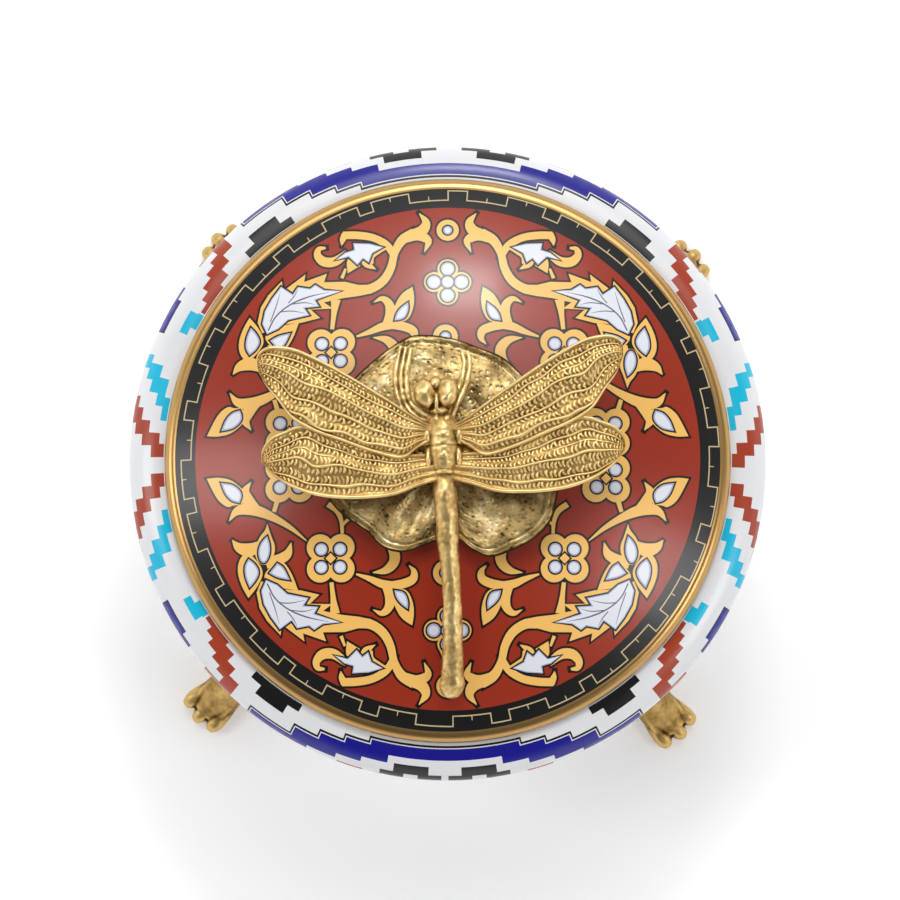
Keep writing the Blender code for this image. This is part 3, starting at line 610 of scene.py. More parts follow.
def make_bowl():
    """The bowl: the painted outside, the base with its foot ring, and the plain inside up to the rim."""
    p, run, norm = body_line()
    length = float(run[-1])
    wide = 1.2                               # millimetres per degree on the flat sheet
    layers = []

    def box(a, b, lo, hi):
        """Outline on the flat sheet with points close enough to follow the bowl round."""
        across = np.linspace(a, b, int(abs(b - a) / BOX_TURN) + 2) * wide
        down = np.linspace(lo, hi, int(abs(hi - lo) / BOX_DROP) + 2)
        return np.array([(x, lo) for x in across] + [(across[-1], s) for s in down[1:-1]]
                        + [(x, hi) for x in across[::-1]] + [(across[0], s) for s in down[::-1][1:-1]])

    def put(boxes, colour, grow=0.0, side=0.0):
        """Boxes in both bands and their mirror images. grow and side widen them upwards and sideways."""
        for f0, f1, s0, s1 in boxes:
            s0 = max(0.0, s0 - grow)
            f1 = f1 + side
            for lo, hi in ((s0, s1), (REPEAT - s1, REPEAT - s0), (REPEAT + s0, REPEAT + s1),
                           (2 * REPEAT - s1, 2 * REPEAT - s0)):
                spans = [(90 + f0, 90 + f1), (90 - f1, 90 - f0), (270 + f0, 270 + f1), (270 - f1, 270 - f0)]
                if f0 == 0:
                    spans = [(90 - f1, 90 + f1), (270 - f1, 270 + f1)]
                for a, b in spans:
                    layers.append((box(a, b, lo, hi), PAINT_INDEX[colour]))
    put(TRAY, "line", 0.72, 0.55)
    put(TRAY, "white", 0.24, 0.2)
    put(TRAY, "blue")
    put(TRAY_CUT, "white")
    put(BLACK_BLOCKS, "black")
    put(BLACK_NOTCH, "white")
    put(BRICK, "brick")
    put(CYAN, "cyan")
    put(BLUE, "line", 0.3, 0.3)
    put(BLUE, "blue")
    for lo, hi, colour in ((2 * REPEAT + 0.8, 2 * REPEAT + 1.9, "blue"),
                           (2 * REPEAT + 2.5, 2 * REPEAT + 2.8, "gold"), (length - 1.2, length - 0.5, "gold")):
        layers.append((box(0, 360, lo, hi), PAINT_INDEX[colour]))
    step = 1.5 if FINE else 3.0
    across = [k * step * wide for k in range(int(360 / step) + 1)]
    levels = [0.0]
    while levels[-1] < length - 0.6:
        levels.append(levels[-1] + (0.7 if levels[-1] < 13 else 1.6))
    levels[-1] = length
    loop = [(x, 0.0) for x in across] + [(across[-1], s) for s in levels[1:]]
    loop += [(x, length) for x in across[::-1][1:]] + [(0.0, s) for s in levels[::-1][1:-1]]
    loose = [(x, s) for x in across[1:-1:2] for s in levels[1:-1]]
    points, tris = paint(layers, (np.array(loop), PAINT_INDEX["white"]), loose)
    skin = Skin()
    down = [q[1] for q in points]
    r, z, nr, nz = (np.interp(down, run, row) for row in (p[:, 0], p[:, 1], norm[:, 0], norm[:, 1]))
    turns = [math.radians(laid(q[0] / wide)) for q in points]
    for tri, colour in tris:
        a, b, c = (points[i] for i in tri)
        if (b[0] - a[0]) * (c[1] - a[1]) - (b[1] - a[1]) * (c[0] - a[0]) > 0:
            tri = tri[::-1]
        corners, norms = [], []
        for i in tri:
            t = turns[i]
            corners.append((r[i] * math.cos(t), r[i] * math.sin(t), z[i]))
            norms.append((nr[i] * math.cos(t), nr[i] * math.sin(t), nz[i]))
        skin.face(corners, norms, colour)

    def edge_angles(s):
        """Angles of the sheet's points on one of its edges, so that what joins on there has the same ones."""
        return sorted({round(laid(q[0] / wide), 6) % 360 for q in points if abs(q[1] - s) < 1e-4})

    low = BASE_Z - 1.5
    bottom = [(BASE_R, BASE_Z), (BASE_R, low + 0.4), (BASE_R - 0.4, low), (BASE_R - 3.6, low),
              (BASE_R - 4, low + 0.4), (BASE_R - 4, BASE_Z), (0.0, BASE_Z)]
    norms = [(b, a) for a, b in turned(bottom[::-1], lambda k: False)[::-1]]
    revolve_into(skin, bottom, norms, edge_angles(length), [PAINT_INDEX["white"]] * (len(bottom) - 1))
    inside = [(0.0, BASE_Z + WALL)] + ellipse(BASE_R, WIDEST_Z, BODY_R - WALL - BASE_R,
                                              WIDEST_Z - BASE_Z - WALL, -90, 0, 24)
    inside += ellipse(MOUTH_R, WIDEST_Z, BODY_R - WALL - MOUTH_R, RIM_Z - WALL - WIDEST_Z, 0, 90, 8)[1:]
    inside += [(MOUTH_R, RIM_Z), (RIM_R, RIM_Z)]
    norms = [(b, a) for a, b in turned(inside[::-1], lambda k: k > 2)[::-1]]
    revolve_into(skin, inside, norms, edge_angles(0.0), [PAINT_INDEX["white"]] * (len(inside) - 1))
    ob = skin.build("bowl_painted", PAINTS)
    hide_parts("body")
    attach(ob, "root")


def bronze(name, dark, middle, bright, rough):
    """Bronze whose colour follows a value at each point, low in the hollows and high on ridges: patina and
    wear, together with painted shade in the hollows and painted highlights on the ridges.
    """
    mat = bpy.data.materials.new(name)
    mat.use_nodes = True
    tree = mat.node_tree
    shader = tree.nodes["Principled BSDF"]
    wear_and_painted_light = tree.nodes.new("ShaderNodeAttribute")
    wear_and_painted_light.attribute_name = "wear_and_painted_light"
    # The ramp goes from a dark tone, patina with painted shade, through the plain bronze to a bright tone, wear
    # with painted highlight.
    ramp = tree.nodes.new("ShaderNodeValToRGB")
    ramp.color_ramp.elements[0].position = 0.12
    ramp.color_ramp.elements[0].color = (*srgb(*dark), 1)
    ramp.color_ramp.elements[1].position = 0.9
    ramp.color_ramp.elements[1].color = (*srgb(*bright), 1)
    mid = ramp.color_ramp.elements.new(0.5)
    mid.color = (*srgb(*middle), 1)
    smooth = tree.nodes.new("ShaderNodeMapRange")
    smooth.inputs["To Min"].default_value = rough[0]
    smooth.inputs["To Max"].default_value = rough[1]
    tree.links.new(wear_and_painted_light.outputs["Fac"], ramp.inputs["Fac"])
    tree.links.new(wear_and_painted_light.outputs["Fac"], smooth.inputs["Value"])
    tree.links.new(ramp.outputs["Color"], shader.inputs["Base Color"])
    tree.links.new(smooth.outputs["Result"], shader.inputs["Roughness"])
    shader.inputs["Metallic"].default_value = 1.0
    return mat


class Cast:
    """Rows of points and faces of one casting, in millimetres."""

    def __init__(self):
        self.points, self.faces, self.count = [], [], 0

    def add(self, points, faces):
        self.points.append(np.array(points, float))
        self.faces += [tuple(i + self.count for i in f) for f in faces]
        self.count += len(points)

    def sheet(self, grid, flip=False):
        rows, cols = grid.shape[:2]
        faces = []
        for i in range(rows - 1):
            for j in range(cols - 1):
                a, b = i * cols + j, (i + 1) * cols + j
                faces.append((a, a + 1, b + 1, b) if flip else (a, b, b + 1, a + 1))
        self.add(grid.reshape(-1, 3), faces)

    def tube(self, rings):
        """Closed solid through equal rings of points."""
        n, m = len(rings), len(rings[0])
        faces = []
        for k in range(n - 1):
            for i in range(m):
                j = (i + 1) % m
                faces.append((k * m + i, k * m + j, (k + 1) * m + j, (k + 1) * m + i))
        pts = [p for ring in rings for p in ring]
        first, last = np.mean(rings[0], 0), np.mean(rings[-1], 0)
        for i in range(m):
            j = (i + 1) % m
            faces.append((n * m, j, i))
            faces.append((n * m + 1, (n - 1) * m + i, (n - 1) * m + j))
        self.add(pts + [first, last], faces)

    def ball(self, place, radii, around=28, rows=16, bump=None):
        """Ellipsoid at a place; bump gives a factor for each direction."""
        pts, faces = [], []
        for k in range(rows + 1):
            t = math.pi * (0.002 + 0.996 * k / rows)
            for i in range(around):
                a = 2 * math.pi * i / around
                v = np.array([math.sin(t) * math.cos(a), math.sin(t) * math.sin(a), math.cos(t)])
                s = bump(v) if bump else 1.0
                q = place @ Vector((radii[0] * v[0] * s, radii[1] * v[1] * s, radii[2] * v[2] * s))
                pts.append(tuple(q))
        for k in range(rows):
            for i in range(around):
                j = (i + 1) % around
                a, b = k * around, (k + 1) * around
                faces.append((a + i, b + i, b + j, a + j))
        self.add(pts, faces)

    def mesh(self, name):
        mesh = bpy.data.meshes.new(name)
        mesh.from_pydata([tuple(p * MM) for p in np.vstack(self.points)], [], self.faces)
        mesh.update()
        return mesh


def remeshed(name, mesh, size):
    """The same shape as one skin with even faces of a size in millimetres."""
    ob = placed(name, mesh)
    mod = ob.modifiers.new("skin", "REMESH")
    mod.mode = "VOXEL"
    mod.voxel_size = size * MM
    depsgraph = bpy.context.evaluated_depsgraph_get()
    depsgraph.update()
    out = bpy.data.meshes.new_from_object(ob.evaluated_get(depsgraph))
    bpy.data.objects.remove(ob, do_unlink=True)
    return out


def points_of(mesh):
    co = np.empty(len(mesh.vertices) * 3)
    mesh.vertices.foreach_get("co", co)
    return co.reshape(-1, 3)


def averaged(mesh, values, rounds):
    """Values at the points, each drawn half way to the mean of its neighbours, some times over."""
    edges = np.empty(len(mesh.edges) * 2, int)
    mesh.edges.foreach_get("vertices", edges)
    a, b = edges[0::2], edges[1::2]
    count = np.bincount(edges, minlength=len(values)).astype(float)[:, None]
    for _ in range(rounds):
        total = np.zeros_like(values)
        np.add.at(total, a, values[b])
        np.add.at(total, b, values[a])
        values = 0.5 * values + 0.5 * total / np.maximum(count, 1)
    return values


def soothed(mesh, rounds):
    """The mesh with its points smoothed."""
    co = averaged(mesh, points_of(mesh), rounds)
    mesh.vertices.foreach_set("co", co.ravel())
    mesh.update()
    return mesh


def grain(points, scale, offset=0.0):
    """Even noise from -1 to 1 at points in millimetres; scale is the size of its grains."""
    return np.array([noise.noise(Vector((x / scale + offset, y / scale, z / scale))) for x, y, z in points])


def roughened(mesh, layers):
    """Moves the skin in and out by noise; layers is [(size of grains, height)] in millimetres."""
    co = points_of(mesh)
    normal = np.empty(len(co) * 3)
    mesh.vertex_normals.foreach_get("vector", normal)
    for k, (size, height) in enumerate(layers):
        co = co + normal.reshape(-1, 3) * (grain(co / MM, size, 7.0 * k) * height * MM)[:, None]
    mesh.vertices.foreach_set("co", co.ravel())
    mesh.update()
    return mesh


def dressed(name, mesh, mat, node, reach, gain, bias=0.5, stain=0.2, speck=0.5):
    """Gives a casting its bronze, its wear and patina with painted shade and painted highlights, and its place
    in the frame.
    """
    mesh.materials.clear()
    mesh.materials.append(mat)
    mesh.shade_smooth()
    co = points_of(mesh)
    normal = np.empty(len(co) * 3)
    mesh.vertex_normals.foreach_get("vector", normal)
    normal = normal.reshape(-1, 3)
    # near and far: how far each point stands out from its close and its wider neighbours, above nought on
    # ridges and below it in hollows.
    near = np.sum((co - averaged(mesh, co.copy(), reach)) * normal, 1) / MM
    far = np.sum((co - averaged(mesh, co.copy(), reach * 4)) * normal, 1) / MM
    # Darker in hollows and lighter on ridges, for patina and wear and also as painted shade and painted
    # highlights; the last term makes faces turned up lighter, painted light from above.
    wear_and_painted_light = bias + gain * near + gain * 0.5 * far + 0.10 * normal[:, 2]
    wear_and_painted_light += stain * grain(co / MM, 3.4, 3.0) + 0.3 * stain * grain(co / MM, 0.9, 5.0)
    wear_and_painted_light -= speck * np.clip(grain(co / MM, 0.36, 9.0) - 0.26, 0, 1)
    wear_and_painted_light = averaged(mesh, wear_and_painted_light[:, None], 1)[:, 0]
    attribute = mesh.attributes.new("wear_and_painted_light", "FLOAT", "POINT")
    attribute.data.foreach_set("value", np.clip(wear_and_painted_light, 0, 1))
    ob = placed(name, mesh)
    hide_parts(node)
    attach(ob, "root")


LEAF_R, LEAF_TURN, FIGURE_LEFT, LEAF_FLARE = 25.0, 1.5, 0.9, 5.0
LEAF_MIDDLE, LEAF_THINNER = 1.6, 0.5     # thickness in the middle, and how much less it is at the edge
# Angle, radius as a share of LEAF_R, and flare as a share of LEAF_FLARE
LEAF_OUTLINE = (
    (-166, 1.04, 0.98), (-157, 1.056, 1.00), (-147, 1.01, 0.98), (-136, 0.955, 0.90), (-124, 0.972, 0.78),
    (-114, 0.935, 0.66), (-105, 0.84, 0.50), (-97, 0.772, 0.38), (-89, 0.745, 0.34), (-81, 0.764, 0.38),
    (-75, 0.875, 0.50), (-68, 0.984, 0.62), (-57, 1.032, 0.76), (-43, 1.088, 0.90), (-33, 1.096, 1.00),
    (-24, 1.055, 1.00), (-10, 1.01, 0.92), (5, 0.985, 0.80), (20, 0.965, 0.66), (33, 0.955, 0.52),
    (45, 0.957, 0.42), (57, 0.974, 0.36), (70, 0.965, 0.32), (86, 1.003, 0.34), (96, 1.035, 0.30),
    (105, 1.055, 0.34), (116, 1.02, 0.42), (128, 1.00, 0.52), (141, 1.004, 0.64), (158, 1.01, 0.80),
    (176, 1.02, 0.92))
LEAF_CURVE = smooth_line([(a + 360 * k, r, f) for k in (-1, 0, 1) for a, r, f in LEAF_OUTLINE], 8)


def leaf_shape(angle):
    """Radius and flare of the outline."""
    angle = (angle + 180) % 360 - 180
    return (LEAF_R * float(np.interp(angle, LEAF_CURVE[:, 0], LEAF_CURVE[:, 1])),
            LEAF_FLARE * float(np.interp(angle, LEAF_CURVE[:, 0], LEAF_CURVE[:, 2])))


def leaf_heights(share, angle):
    """Underside and top of the leaf at a share of its outline radius, the top without its fine relief."""
    radius, flare = leaf_shape(angle)
    lift = max(0.0, (share - 0.40) / 0.60) ** 1.5 * flare
    under = dome_z(radius * share) + GAP + lift
    front = 0.5 - 0.5 * math.sin(math.radians(angle))
    thick = LEAF_MIDDLE - LEAF_THINNER * share
    pillow = (1 - front) * 1.1 * math.sin(math.pi * min(1.0, share * 1.02))
    fold = 0.9 * front * max(0.0, math.sin(math.pi * min(1.0, share / 0.9))) \
        * math.cos(math.radians(angle * 6 + 70)) ** 2 * share
    return under, under + thick + max(0.0, pillow) + fold


def leaf_top_at(x, y):
    angle = math.degrees(math.atan2(y, x))
    return leaf_heights(min(1.0, math.hypot(x, y) / leaf_shape(angle)[0]), angle)[1]


def leaf_relief(share, angle):
    """Lip, groove, hollows, fans and pits on the top of the leaf."""
    front = 0.5 - 0.5 * math.sin(math.radians(angle))
    edge = (1 - share) * LEAF_R
    lip = 0.38 * math.exp(-((edge - 0.6) / 0.55) ** 2) * (0.5 + 0.5 * front)
    groove = -0.20 * math.exp(-((edge - 1.8) / 0.5) ** 2)
    a = math.radians(angle)
    x, y = share * LEAF_R * math.cos(a), share * LEAF_R * math.sin(a)
    soft = 0.55 * noise.noise(Vector((x / 6.5, y / 6.5, 2.0))) \
        + 0.10 * noise.noise(Vector((x / 2.1, y / 2.1, 5.0)))
    fans = 0.20 * front * min(1.0, share * 2) * noise.noise(Vector((angle / 7.0, share * 1.6, 8.0)))
    pits = max(0.0, noise.noise(Vector((x / 0.7, y / 0.7, 1.0))) - 0.3) * (0.8 - 0.55 * front)
    fade = min(1.0, edge / 1.2)
    return lip + groove + (soft + fans - pits) * fade


def make_leaf(mat):
    around, rows, lip = (480, 96, 24) if FINE else (180, 30, 10)
    turns = np.arange(around) * 360 / around
    shares = np.concatenate([np.linspace(0.02, 0.9, rows, endpoint=False), np.linspace(0.9, 1.0, lip)])
    place = Matrix.Translation((-FIGURE_LEFT, 0, 0)) @ Matrix.Rotation(math.radians(LEAF_TURN), 4, "Z")

    def at(share, angle, z):
        r = leaf_shape(angle)[0] * share
        a = math.radians(angle)
        x, y = r * math.cos(a), r * math.sin(a)
        q = place @ Vector((x, y, 0))
        return (q.x, q.y, z + dome_z(math.hypot(q.x, q.y)) - dome_z(math.hypot(x, y)))
    rings = []
    for share in shares:
        rings.append([at(share, a, leaf_heights(share, a)[1] + leaf_relief(share, a)) for a in turns])
    for share in (0.985, 0.9, 0.75, 0.6, 0.45, 0.3, 0.15, 0.02):
        rings.append([at(share, a, leaf_heights(share, a)[0]) for a in turns])
    cast = Cast()
    cast.tube(rings)
    mesh = cast.mesh("lily_leaf_bronze")
    dressed("lily_leaf_bronze", mesh, mat, "lily_leaf", reach=8, gain=1.8, bias=0.6, stain=0.28,
            speck=1.7)


THORAX_Z = CROWN_Z + GAP + LEAF_MIDDLE + GAP + 4.6
WAIST, FRONT_LENGTH, TAIL_LENGTH, REACH = -5.6, 23.0, 47.0, 39.2
HEAD_W, HEAD_H, THORAX_W, THORAX_H = 8.4, 6.0, 8.4, 9.2
HEAD_LEAN = -1.15                        # how far the head is bent to the left
FOREWING_DEPTH, FOREWING_BACK, HINDWING_DEPTH, HINDWING_BACK = 24.7, -1.5, 16.0, -9.9
WING_THICK, FOREWING_STEP = 1.1, 0.6
DRAGONFLY_TURN = 2.0                     # degrees, to the left
# Share of the front's length, half width and half height as shares of the head's or the thorax's
FRONT_STATIONS = ((1.000, 0.12, 0.13), (0.952, 0.26, 0.28), (0.878, 0.42, 0.43), (0.765, 0.50, 0.50),
                  (0.665, 0.40, 0.43), (0.600, 0.25, 0.32), (0.539, 0.39, 0.37), (0.435, 0.50, 0.475),
                  (0.304, 0.49, 0.50), (0.283, 0.455, 0.465), (0.261, 0.485, 0.495), (0.139, 0.44, 0.45),
                  (0.048, 0.34, 0.35))
FOREWING_LEAD = ((0.04, 0.28), (0.125, 0.333), (0.306, 0.530), (0.553, 0.781), (0.750, 0.951),
                 (0.854, 1.000), (0.938, 1.000), (0.990, 0.943), (1.000, 0.826))
FOREWING_TRAIL = ((0.04, 0.15), (0.138, 0.077), (0.209, 0.000), (0.278, 0.000), (0.416, 0.069),
                  (0.556, 0.158), (0.696, 0.247), (0.814, 0.364), (0.890, 0.526), (0.959, 0.672),
                  (1.000, 0.826))
HINDWING_LEAD = ((0.03, 0.575), (0.278, 0.600), (0.485, 0.756), (0.714, 0.981), (0.791, 1.000),
                 (0.855, 0.944), (0.941, 0.850), (0.987, 0.694), (0.992, 0.540))
HINDWING_TRAIL = ((0.03, 0.215), (0.138, 0.144), (0.276, 0.031), (0.416, 0.000), (0.554, 0.006),
                  (0.694, 0.056), (0.827, 0.175), (0.931, 0.350), (0.992, 0.540))


def even(points, count):
    """Points at even lengths along a line."""
    run = np.concatenate([[0], np.cumsum(np.linalg.norm(np.diff(points, axis=0), axis=1))])
    want = np.linspace(0, run[-1], count)
    return np.stack([np.interp(want, run, points[:, k]) for k in range(points.shape[1])], 1)


def wing(cast, side, lead, trail, depth, rear, root, thick, veins, seed):
    """One wing: a flat underside and a top with a raised rim, fanned veins and rows of small crescents."""
    rows, cols = (214, 104) if FINE else (100, 50)
    front, back = (even(smooth_line([(side * REACH * a, rear + depth * b) for a, b in edge], 6), rows)
                   for edge in (lead, trail))
    chance = np.random.default_rng(seed).uniform(-1, 1, (40, 90, 4))
    share = np.linspace(0, 1, cols)[None, :]
    along = np.linspace(0, 1, rows)[:, None]
    x = front[:, 0:1] * (1 - share) + back[:, 0:1] * share
    y = front[:, 1:2] * (1 - share) + back[:, 1:2] * share
    width = np.linalg.norm(front - back, axis=1)[:, None]
    edge = np.minimum(share, 1 - share) * width
    sway = np.array([[noise.noise(Vector((float(px) / 7.0, float(py) / 7.0, seed))) for px, py in zip(rx, ry)]
                     for rx, ry in zip(x, y)])
    lane = (veins - veins * 0.22 * along * share ** 0.5) * share + 0.4 * sway * np.clip(along * 3, 0, 1) + 0.12
    per = np.maximum(width / np.maximum(veins - veins * 0.5 * along, 1.5), 0.05)
    off = np.abs(lane - np.round(lane)) * per
    split = np.abs(lane - np.floor(lane) - 0.5) * per
    fade = np.clip(along * 9 - 0.4, 0, 1)
    tip = np.clip((along - 0.9) / 0.08, 0, 1)
    rib = 0.42 * np.exp(-(off / 0.34) ** 2) * (1 - 0.6 * tip)
    rib = np.maximum(rib, 0.2 * np.exp(-(split / 0.2) ** 2) * np.clip((along - 0.45) * 5, 0, 1)
                     * (np.floor(lane) % 3 == 1) * (1 - tip))
    run = along * REACH * 1.1 + 0.25 * sway
    rows_of = 2 * lane
    nth = np.clip(np.floor(rows_of).astype(int), 0, 39)
    inside = rows_of - np.floor(rows_of) - 0.5
    pitch = 0.95 + 0.14 * chance[nth, 0, 0]
    place = run / pitch + chance[nth, 1, 0] * 0.5
    cell = np.clip(np.floor(place).astype(int), 0, 89)
    slip, size, tilt, across = (chance[nth, cell, k] for k in range(4))
    u = (place - np.floor(place) - 0.5 + 0.12 * slip) * pitch + (0.5 * tilt - 0.25) * inside * per * 0.5 \
        - 0.55 * (inside + 0.1 * across) ** 2 * per
    v = (inside + 0.10 * across) * per / 2
    bead = (0.25 + 0.10 * size) * np.exp(-(u / 0.24) ** 2) * np.exp(-(v / (0.2 * per)) ** 4)
    rim = 0.44 * np.exp(-(np.maximum(0, edge - 0.35) / 0.42) ** 2)
    inner = np.clip((edge - 0.75) / 0.3, 0, 1)
    camber = 0.5 * thick * np.sin(math.pi * share) * np.sin(math.pi * np.minimum(1.0, 0.15 + along))
    pleat = 0.24 * np.cos(math.pi * lane) * np.clip(along * 3, 0, 1) * (1 - tip)
    round_off = 0.35 * (1 - np.clip(edge / 0.4, 0, 1)) ** 2
    below = root + 1.2 * np.abs(x) / REACH
    z = below + thick * (0.72 + 0.1 * np.clip(along * 14, 0, 1)) + np.maximum(0, camber) + pleat * inner \
        + np.clip(along * 14, 0, 1) * np.maximum(rim, np.maximum(rib, bead * fade) * inner) - round_off
    z += 0.05 * sway
    top = np.stack([x, y, np.maximum(z, below + 0.3)], 2)
    low = np.stack([x, y, below], 2)
    cast.sheet(top, flip=side > 0)
    few = [0, cols // 4, cols // 2, 3 * cols // 4, cols - 1]
    cast.sheet(low[:, few], flip=side < 0)
    cast.sheet(np.stack([top[:, 0], low[:, 0]], 1), flip=side < 0)
    cast.sheet(np.stack([top[:, -1], low[:, -1]], 1), flip=side > 0)


# The tail: along, aside and radius
TAIL_LINE = ((-5.6, 0.0, 2.1), (-8.7, 0.05, 2.6), (-14.0, 0.15, 2.42), (-22.0, 0.37, 2.22),
             (-29.0, 0.72, 2.0), (-36.0, 0.66, 2.12), (-43.0, 0.5, 2.28), (-47.6, 0.2, 2.42),
             (-50.0, 0.05, 2.7), (-52.0, 0.0, 1.7), (-52.6, 0.0, 0.5))


def torso_line():
    """Stations of the body: along, aside, up, half width, half height."""
    rows = []
    for k, (share, wide, high) in enumerate(FRONT_STATIONS):
        w, h = (HEAD_W * 0.92, HEAD_H * 0.9) if k < 6 else (THORAX_W * 0.92, THORAX_H * 0.93)
        y = FRONT_LENGTH * share + WAIST
        rows.append((y, HEAD_LEAN * min(1.0, max(0.0, (y - 5) / 6)), THORAX_Z, w * wide, h * high))
    tip, thick = WAIST - TAIL_LENGTH, 2.7
    low = dome_z(-tip - thick / 2) + 0.4 + thick
    start = THORAX_Z + THORAX_H * 0.04
    for y, aside, r in TAIL_LINE:
        f = min(1.0, (WAIST - y) / (WAIST - tip))
        rows.append((y, aside, start + (low - start) * f ** 1.55 - 0.1, r, r * 0.95))
    return np.array(rows)


# Lumps that make up the head and the thorax: place and half sizes, from the body's line
LUMPS = (((0, 3.3, 0.1), (3.1, 2.5, 4.4)), ((0, -1.1, -0.1), (2.75, 2.3, 4.5)),
         ((-3.5, 3.1, 1.5), (1.3, 2.2, 2.1)), ((3.4, 3.1, 1.5), (1.25, 2.2, 2.1)),
         ((-3.3, -1.6, 1.1), (0.95, 2.5, 2.2)), ((3.2, -1.6, 1.1), (0.9, 2.5, 2.2)),
         ((0, -4.7, 0.4), (2.6, 0.9, 2.9)), ((-1.2, 6.6, 1.0), (1.1, 1.2, 2.4)),
         ((0.9, 6.6, 1.0), (1.1, 1.2, 2.3)), ((-5.4, 3.4, 0.9), (2.6, 1.6, 1.6)),
         ((5.2, 3.4, 0.9), (2.6, 1.6, 1.6)), ((-5.0, -1.6, 0.4), (2.4, 1.8, 1.6)),
         ((4.8, -1.6, 0.4), (2.4, 1.8, 1.6)), ((-6.3, 0.9, 1.0), (1.3, 1.1, 1.4)),
         ((6.2, 0.9, 0.9), (1.2, 0.9, 1.2)),
         ((-1.15, 16.0, 0.0), (1.75, 1.35, 1.7)), ((-1.15, 14.2, 1.2), (1.4, 1.6, 1.9)),
         ((-1.15, 10.3, 1.4), (0.75, 2.7, 2.1)), ((-0.6, 8.4, 0.8), (1.9, 1.2, 2.3)))
# Each foreleg: where it runs on the body's own ground plan, in millimetres
FORELEGS = {-1: ((-2.6, 6.2), (-5.2, 7.4), (-7.6, 10.2), (-8.5, 13.6), (-8.5, 17.5), (-7.9, 20.6),
                 (-7.3, 23.2)),
            1: ((1.4, 7.0), (2.6, 10.0), (4.2, 13.2), (5.3, 16.4), (5.7, 19.0), (5.4, 21.8))}


def leg_ridges(body, path, count):
    """Some ridges side by side that run down from the thorax and along the leaf."""
    for nth in range(count):
        aside = (nth - (count - 1) / 2) * 1.15
        line = []
        for k, (x, y) in enumerate(path):
            ahead, behind = path[min(k + 1, len(path) - 1)], path[max(0, k - 1)]
            dx, dy = ahead[0] - behind[0], ahead[1] - behind[1]
            size = math.hypot(dx, dy)
            px, py = x + dy / size * aside, y - dx / size * aside
            high = leaf_top_at(px, py) + 0.75
            if k < 2:
                high = max(high, THORAX_Z - 1.2 - 1.6 * k)
            line.append((px, py, high))
        curve = smooth_line(line, 8)
        rings = []
        for k, p in enumerate(curve):
            d = curve[min(k + 1, len(curve) - 1)] - curve[max(0, k - 1)]
            d /= np.linalg.norm(d)
            s = np.cross(d, (0, 0, 1))
            s /= np.linalg.norm(s)
            u = np.cross(s, d)
            size = 0.66 * (1.0 - 0.35 * (k / len(curve)) ** 3)
            rings.append([p + size * (s * math.cos(a) + u * math.sin(a)) for a in np.arange(12) * math.pi / 6])
        body.tube(rings)


def make_dragonfly(mat):
    dense = smooth_line(torso_line(), 9 if FINE else 5)
    around = 44
    angle = np.arange(around) * 2 * math.pi / around
    rings = []
    for y, aside, z, w, h in dense:
        w, h = max(w, 0.15), max(h, 0.15)
        rings.append(np.stack([aside + w * np.cos(angle), np.full(around, y), z + h * np.sin(angle)], 1))
    body = Cast()
    body.tube(rings)
    for (x, y, z), size in LUMPS:
        body.ball(Matrix.Translation((x, y, THORAX_Z + z)), size, 24, 14)
    for side in (-1, 1):
        eye = (HEAD_LEAN + side * 2.4, 12.1, THORAX_Z + 1.45)
        body.ball(Matrix.Translation(eye) @ Matrix.Rotation(math.radians(-10 * side), 4, "Z"),
                  (2.55, 3.2, 2.8),
                  bump=lambda v: 1 + 0.10 * noise.noise(Vector(v) * 1.9 + Vector((side * 3.0, 0, 0))))
        leg_ridges(body, FORELEGS[side], 3 if side < 0 else 2)
    skin = remeshed("torso", body.mesh("torso"), 0.17 if FINE else 0.3)
    body_mesh = roughened(soothed(skin, 2), ((2.8, 0.20), (1.1, 0.08)))
    wings = Cast()
    hind = THORAX_Z + THORAX_H * 0.09
    for side in (-1, 1):
        wing(wings, side, HINDWING_LEAD, HINDWING_TRAIL, HINDWING_DEPTH, HINDWING_BACK, hind,
             WING_THICK, 4, 11 + side)
        wing(wings, side, FOREWING_LEAD, FOREWING_TRAIL, FOREWING_DEPTH, FOREWING_BACK,
             hind + FOREWING_STEP, WING_THICK * 1.35, 5, 21 + side)
    place = Matrix.Translation((-FIGURE_LEFT * MM, 0, 0)) \
        @ Matrix.Rotation(math.radians(DRAGONFLY_TURN), 4, "Z")
    wing_mesh = wings.mesh("wings")
    body_mesh.transform(place)
    wing_mesh.transform(place)
    dressed("dragonfly_body", body_mesh, mat, "dragonfly", reach=6, gain=5.0)
    dressed("dragonfly_wings", wing_mesh, mat, "dragonfly", reach=5, gain=4.0)


# Share of the height, half width and half depth as shares of FOOT_W, and share of the way to the toes
LEG_STATIONS = ((1.000, 0.15, 0.10, 0.0), (0.920, 0.36, 0.17, 0.0), (0.790, 0.53, 0.27, 0.0),
                (0.630, 0.52, 0.34, 0.05), (0.480, 0.41, 0.30, 0.10), (0.340, 0.36, 0.30, 0.15),
                (0.220, 0.38, 0.35, 0.23), (0.115, 0.43, 0.39, 0.41), (0.065, 0.45, 0.33, 0.65),
                (0.050, 0.38, 0.25, 0.83))
FOOT_W, FOOT_TOP, STANCE, TOE, TOE_LENGTH = 10.8, 41.0, 80.4, 2.0, 5.2


def bowl_radius(z):
    """Outside radius of the bowl below its widest line."""
    drop = min(1.0, max(0.0, (WIDEST_Z - z) / (WIDEST_Z - BASE_Z)))
    return BASE_R + (BODY_R - BASE_R) * math.sqrt(1 - drop ** 2)


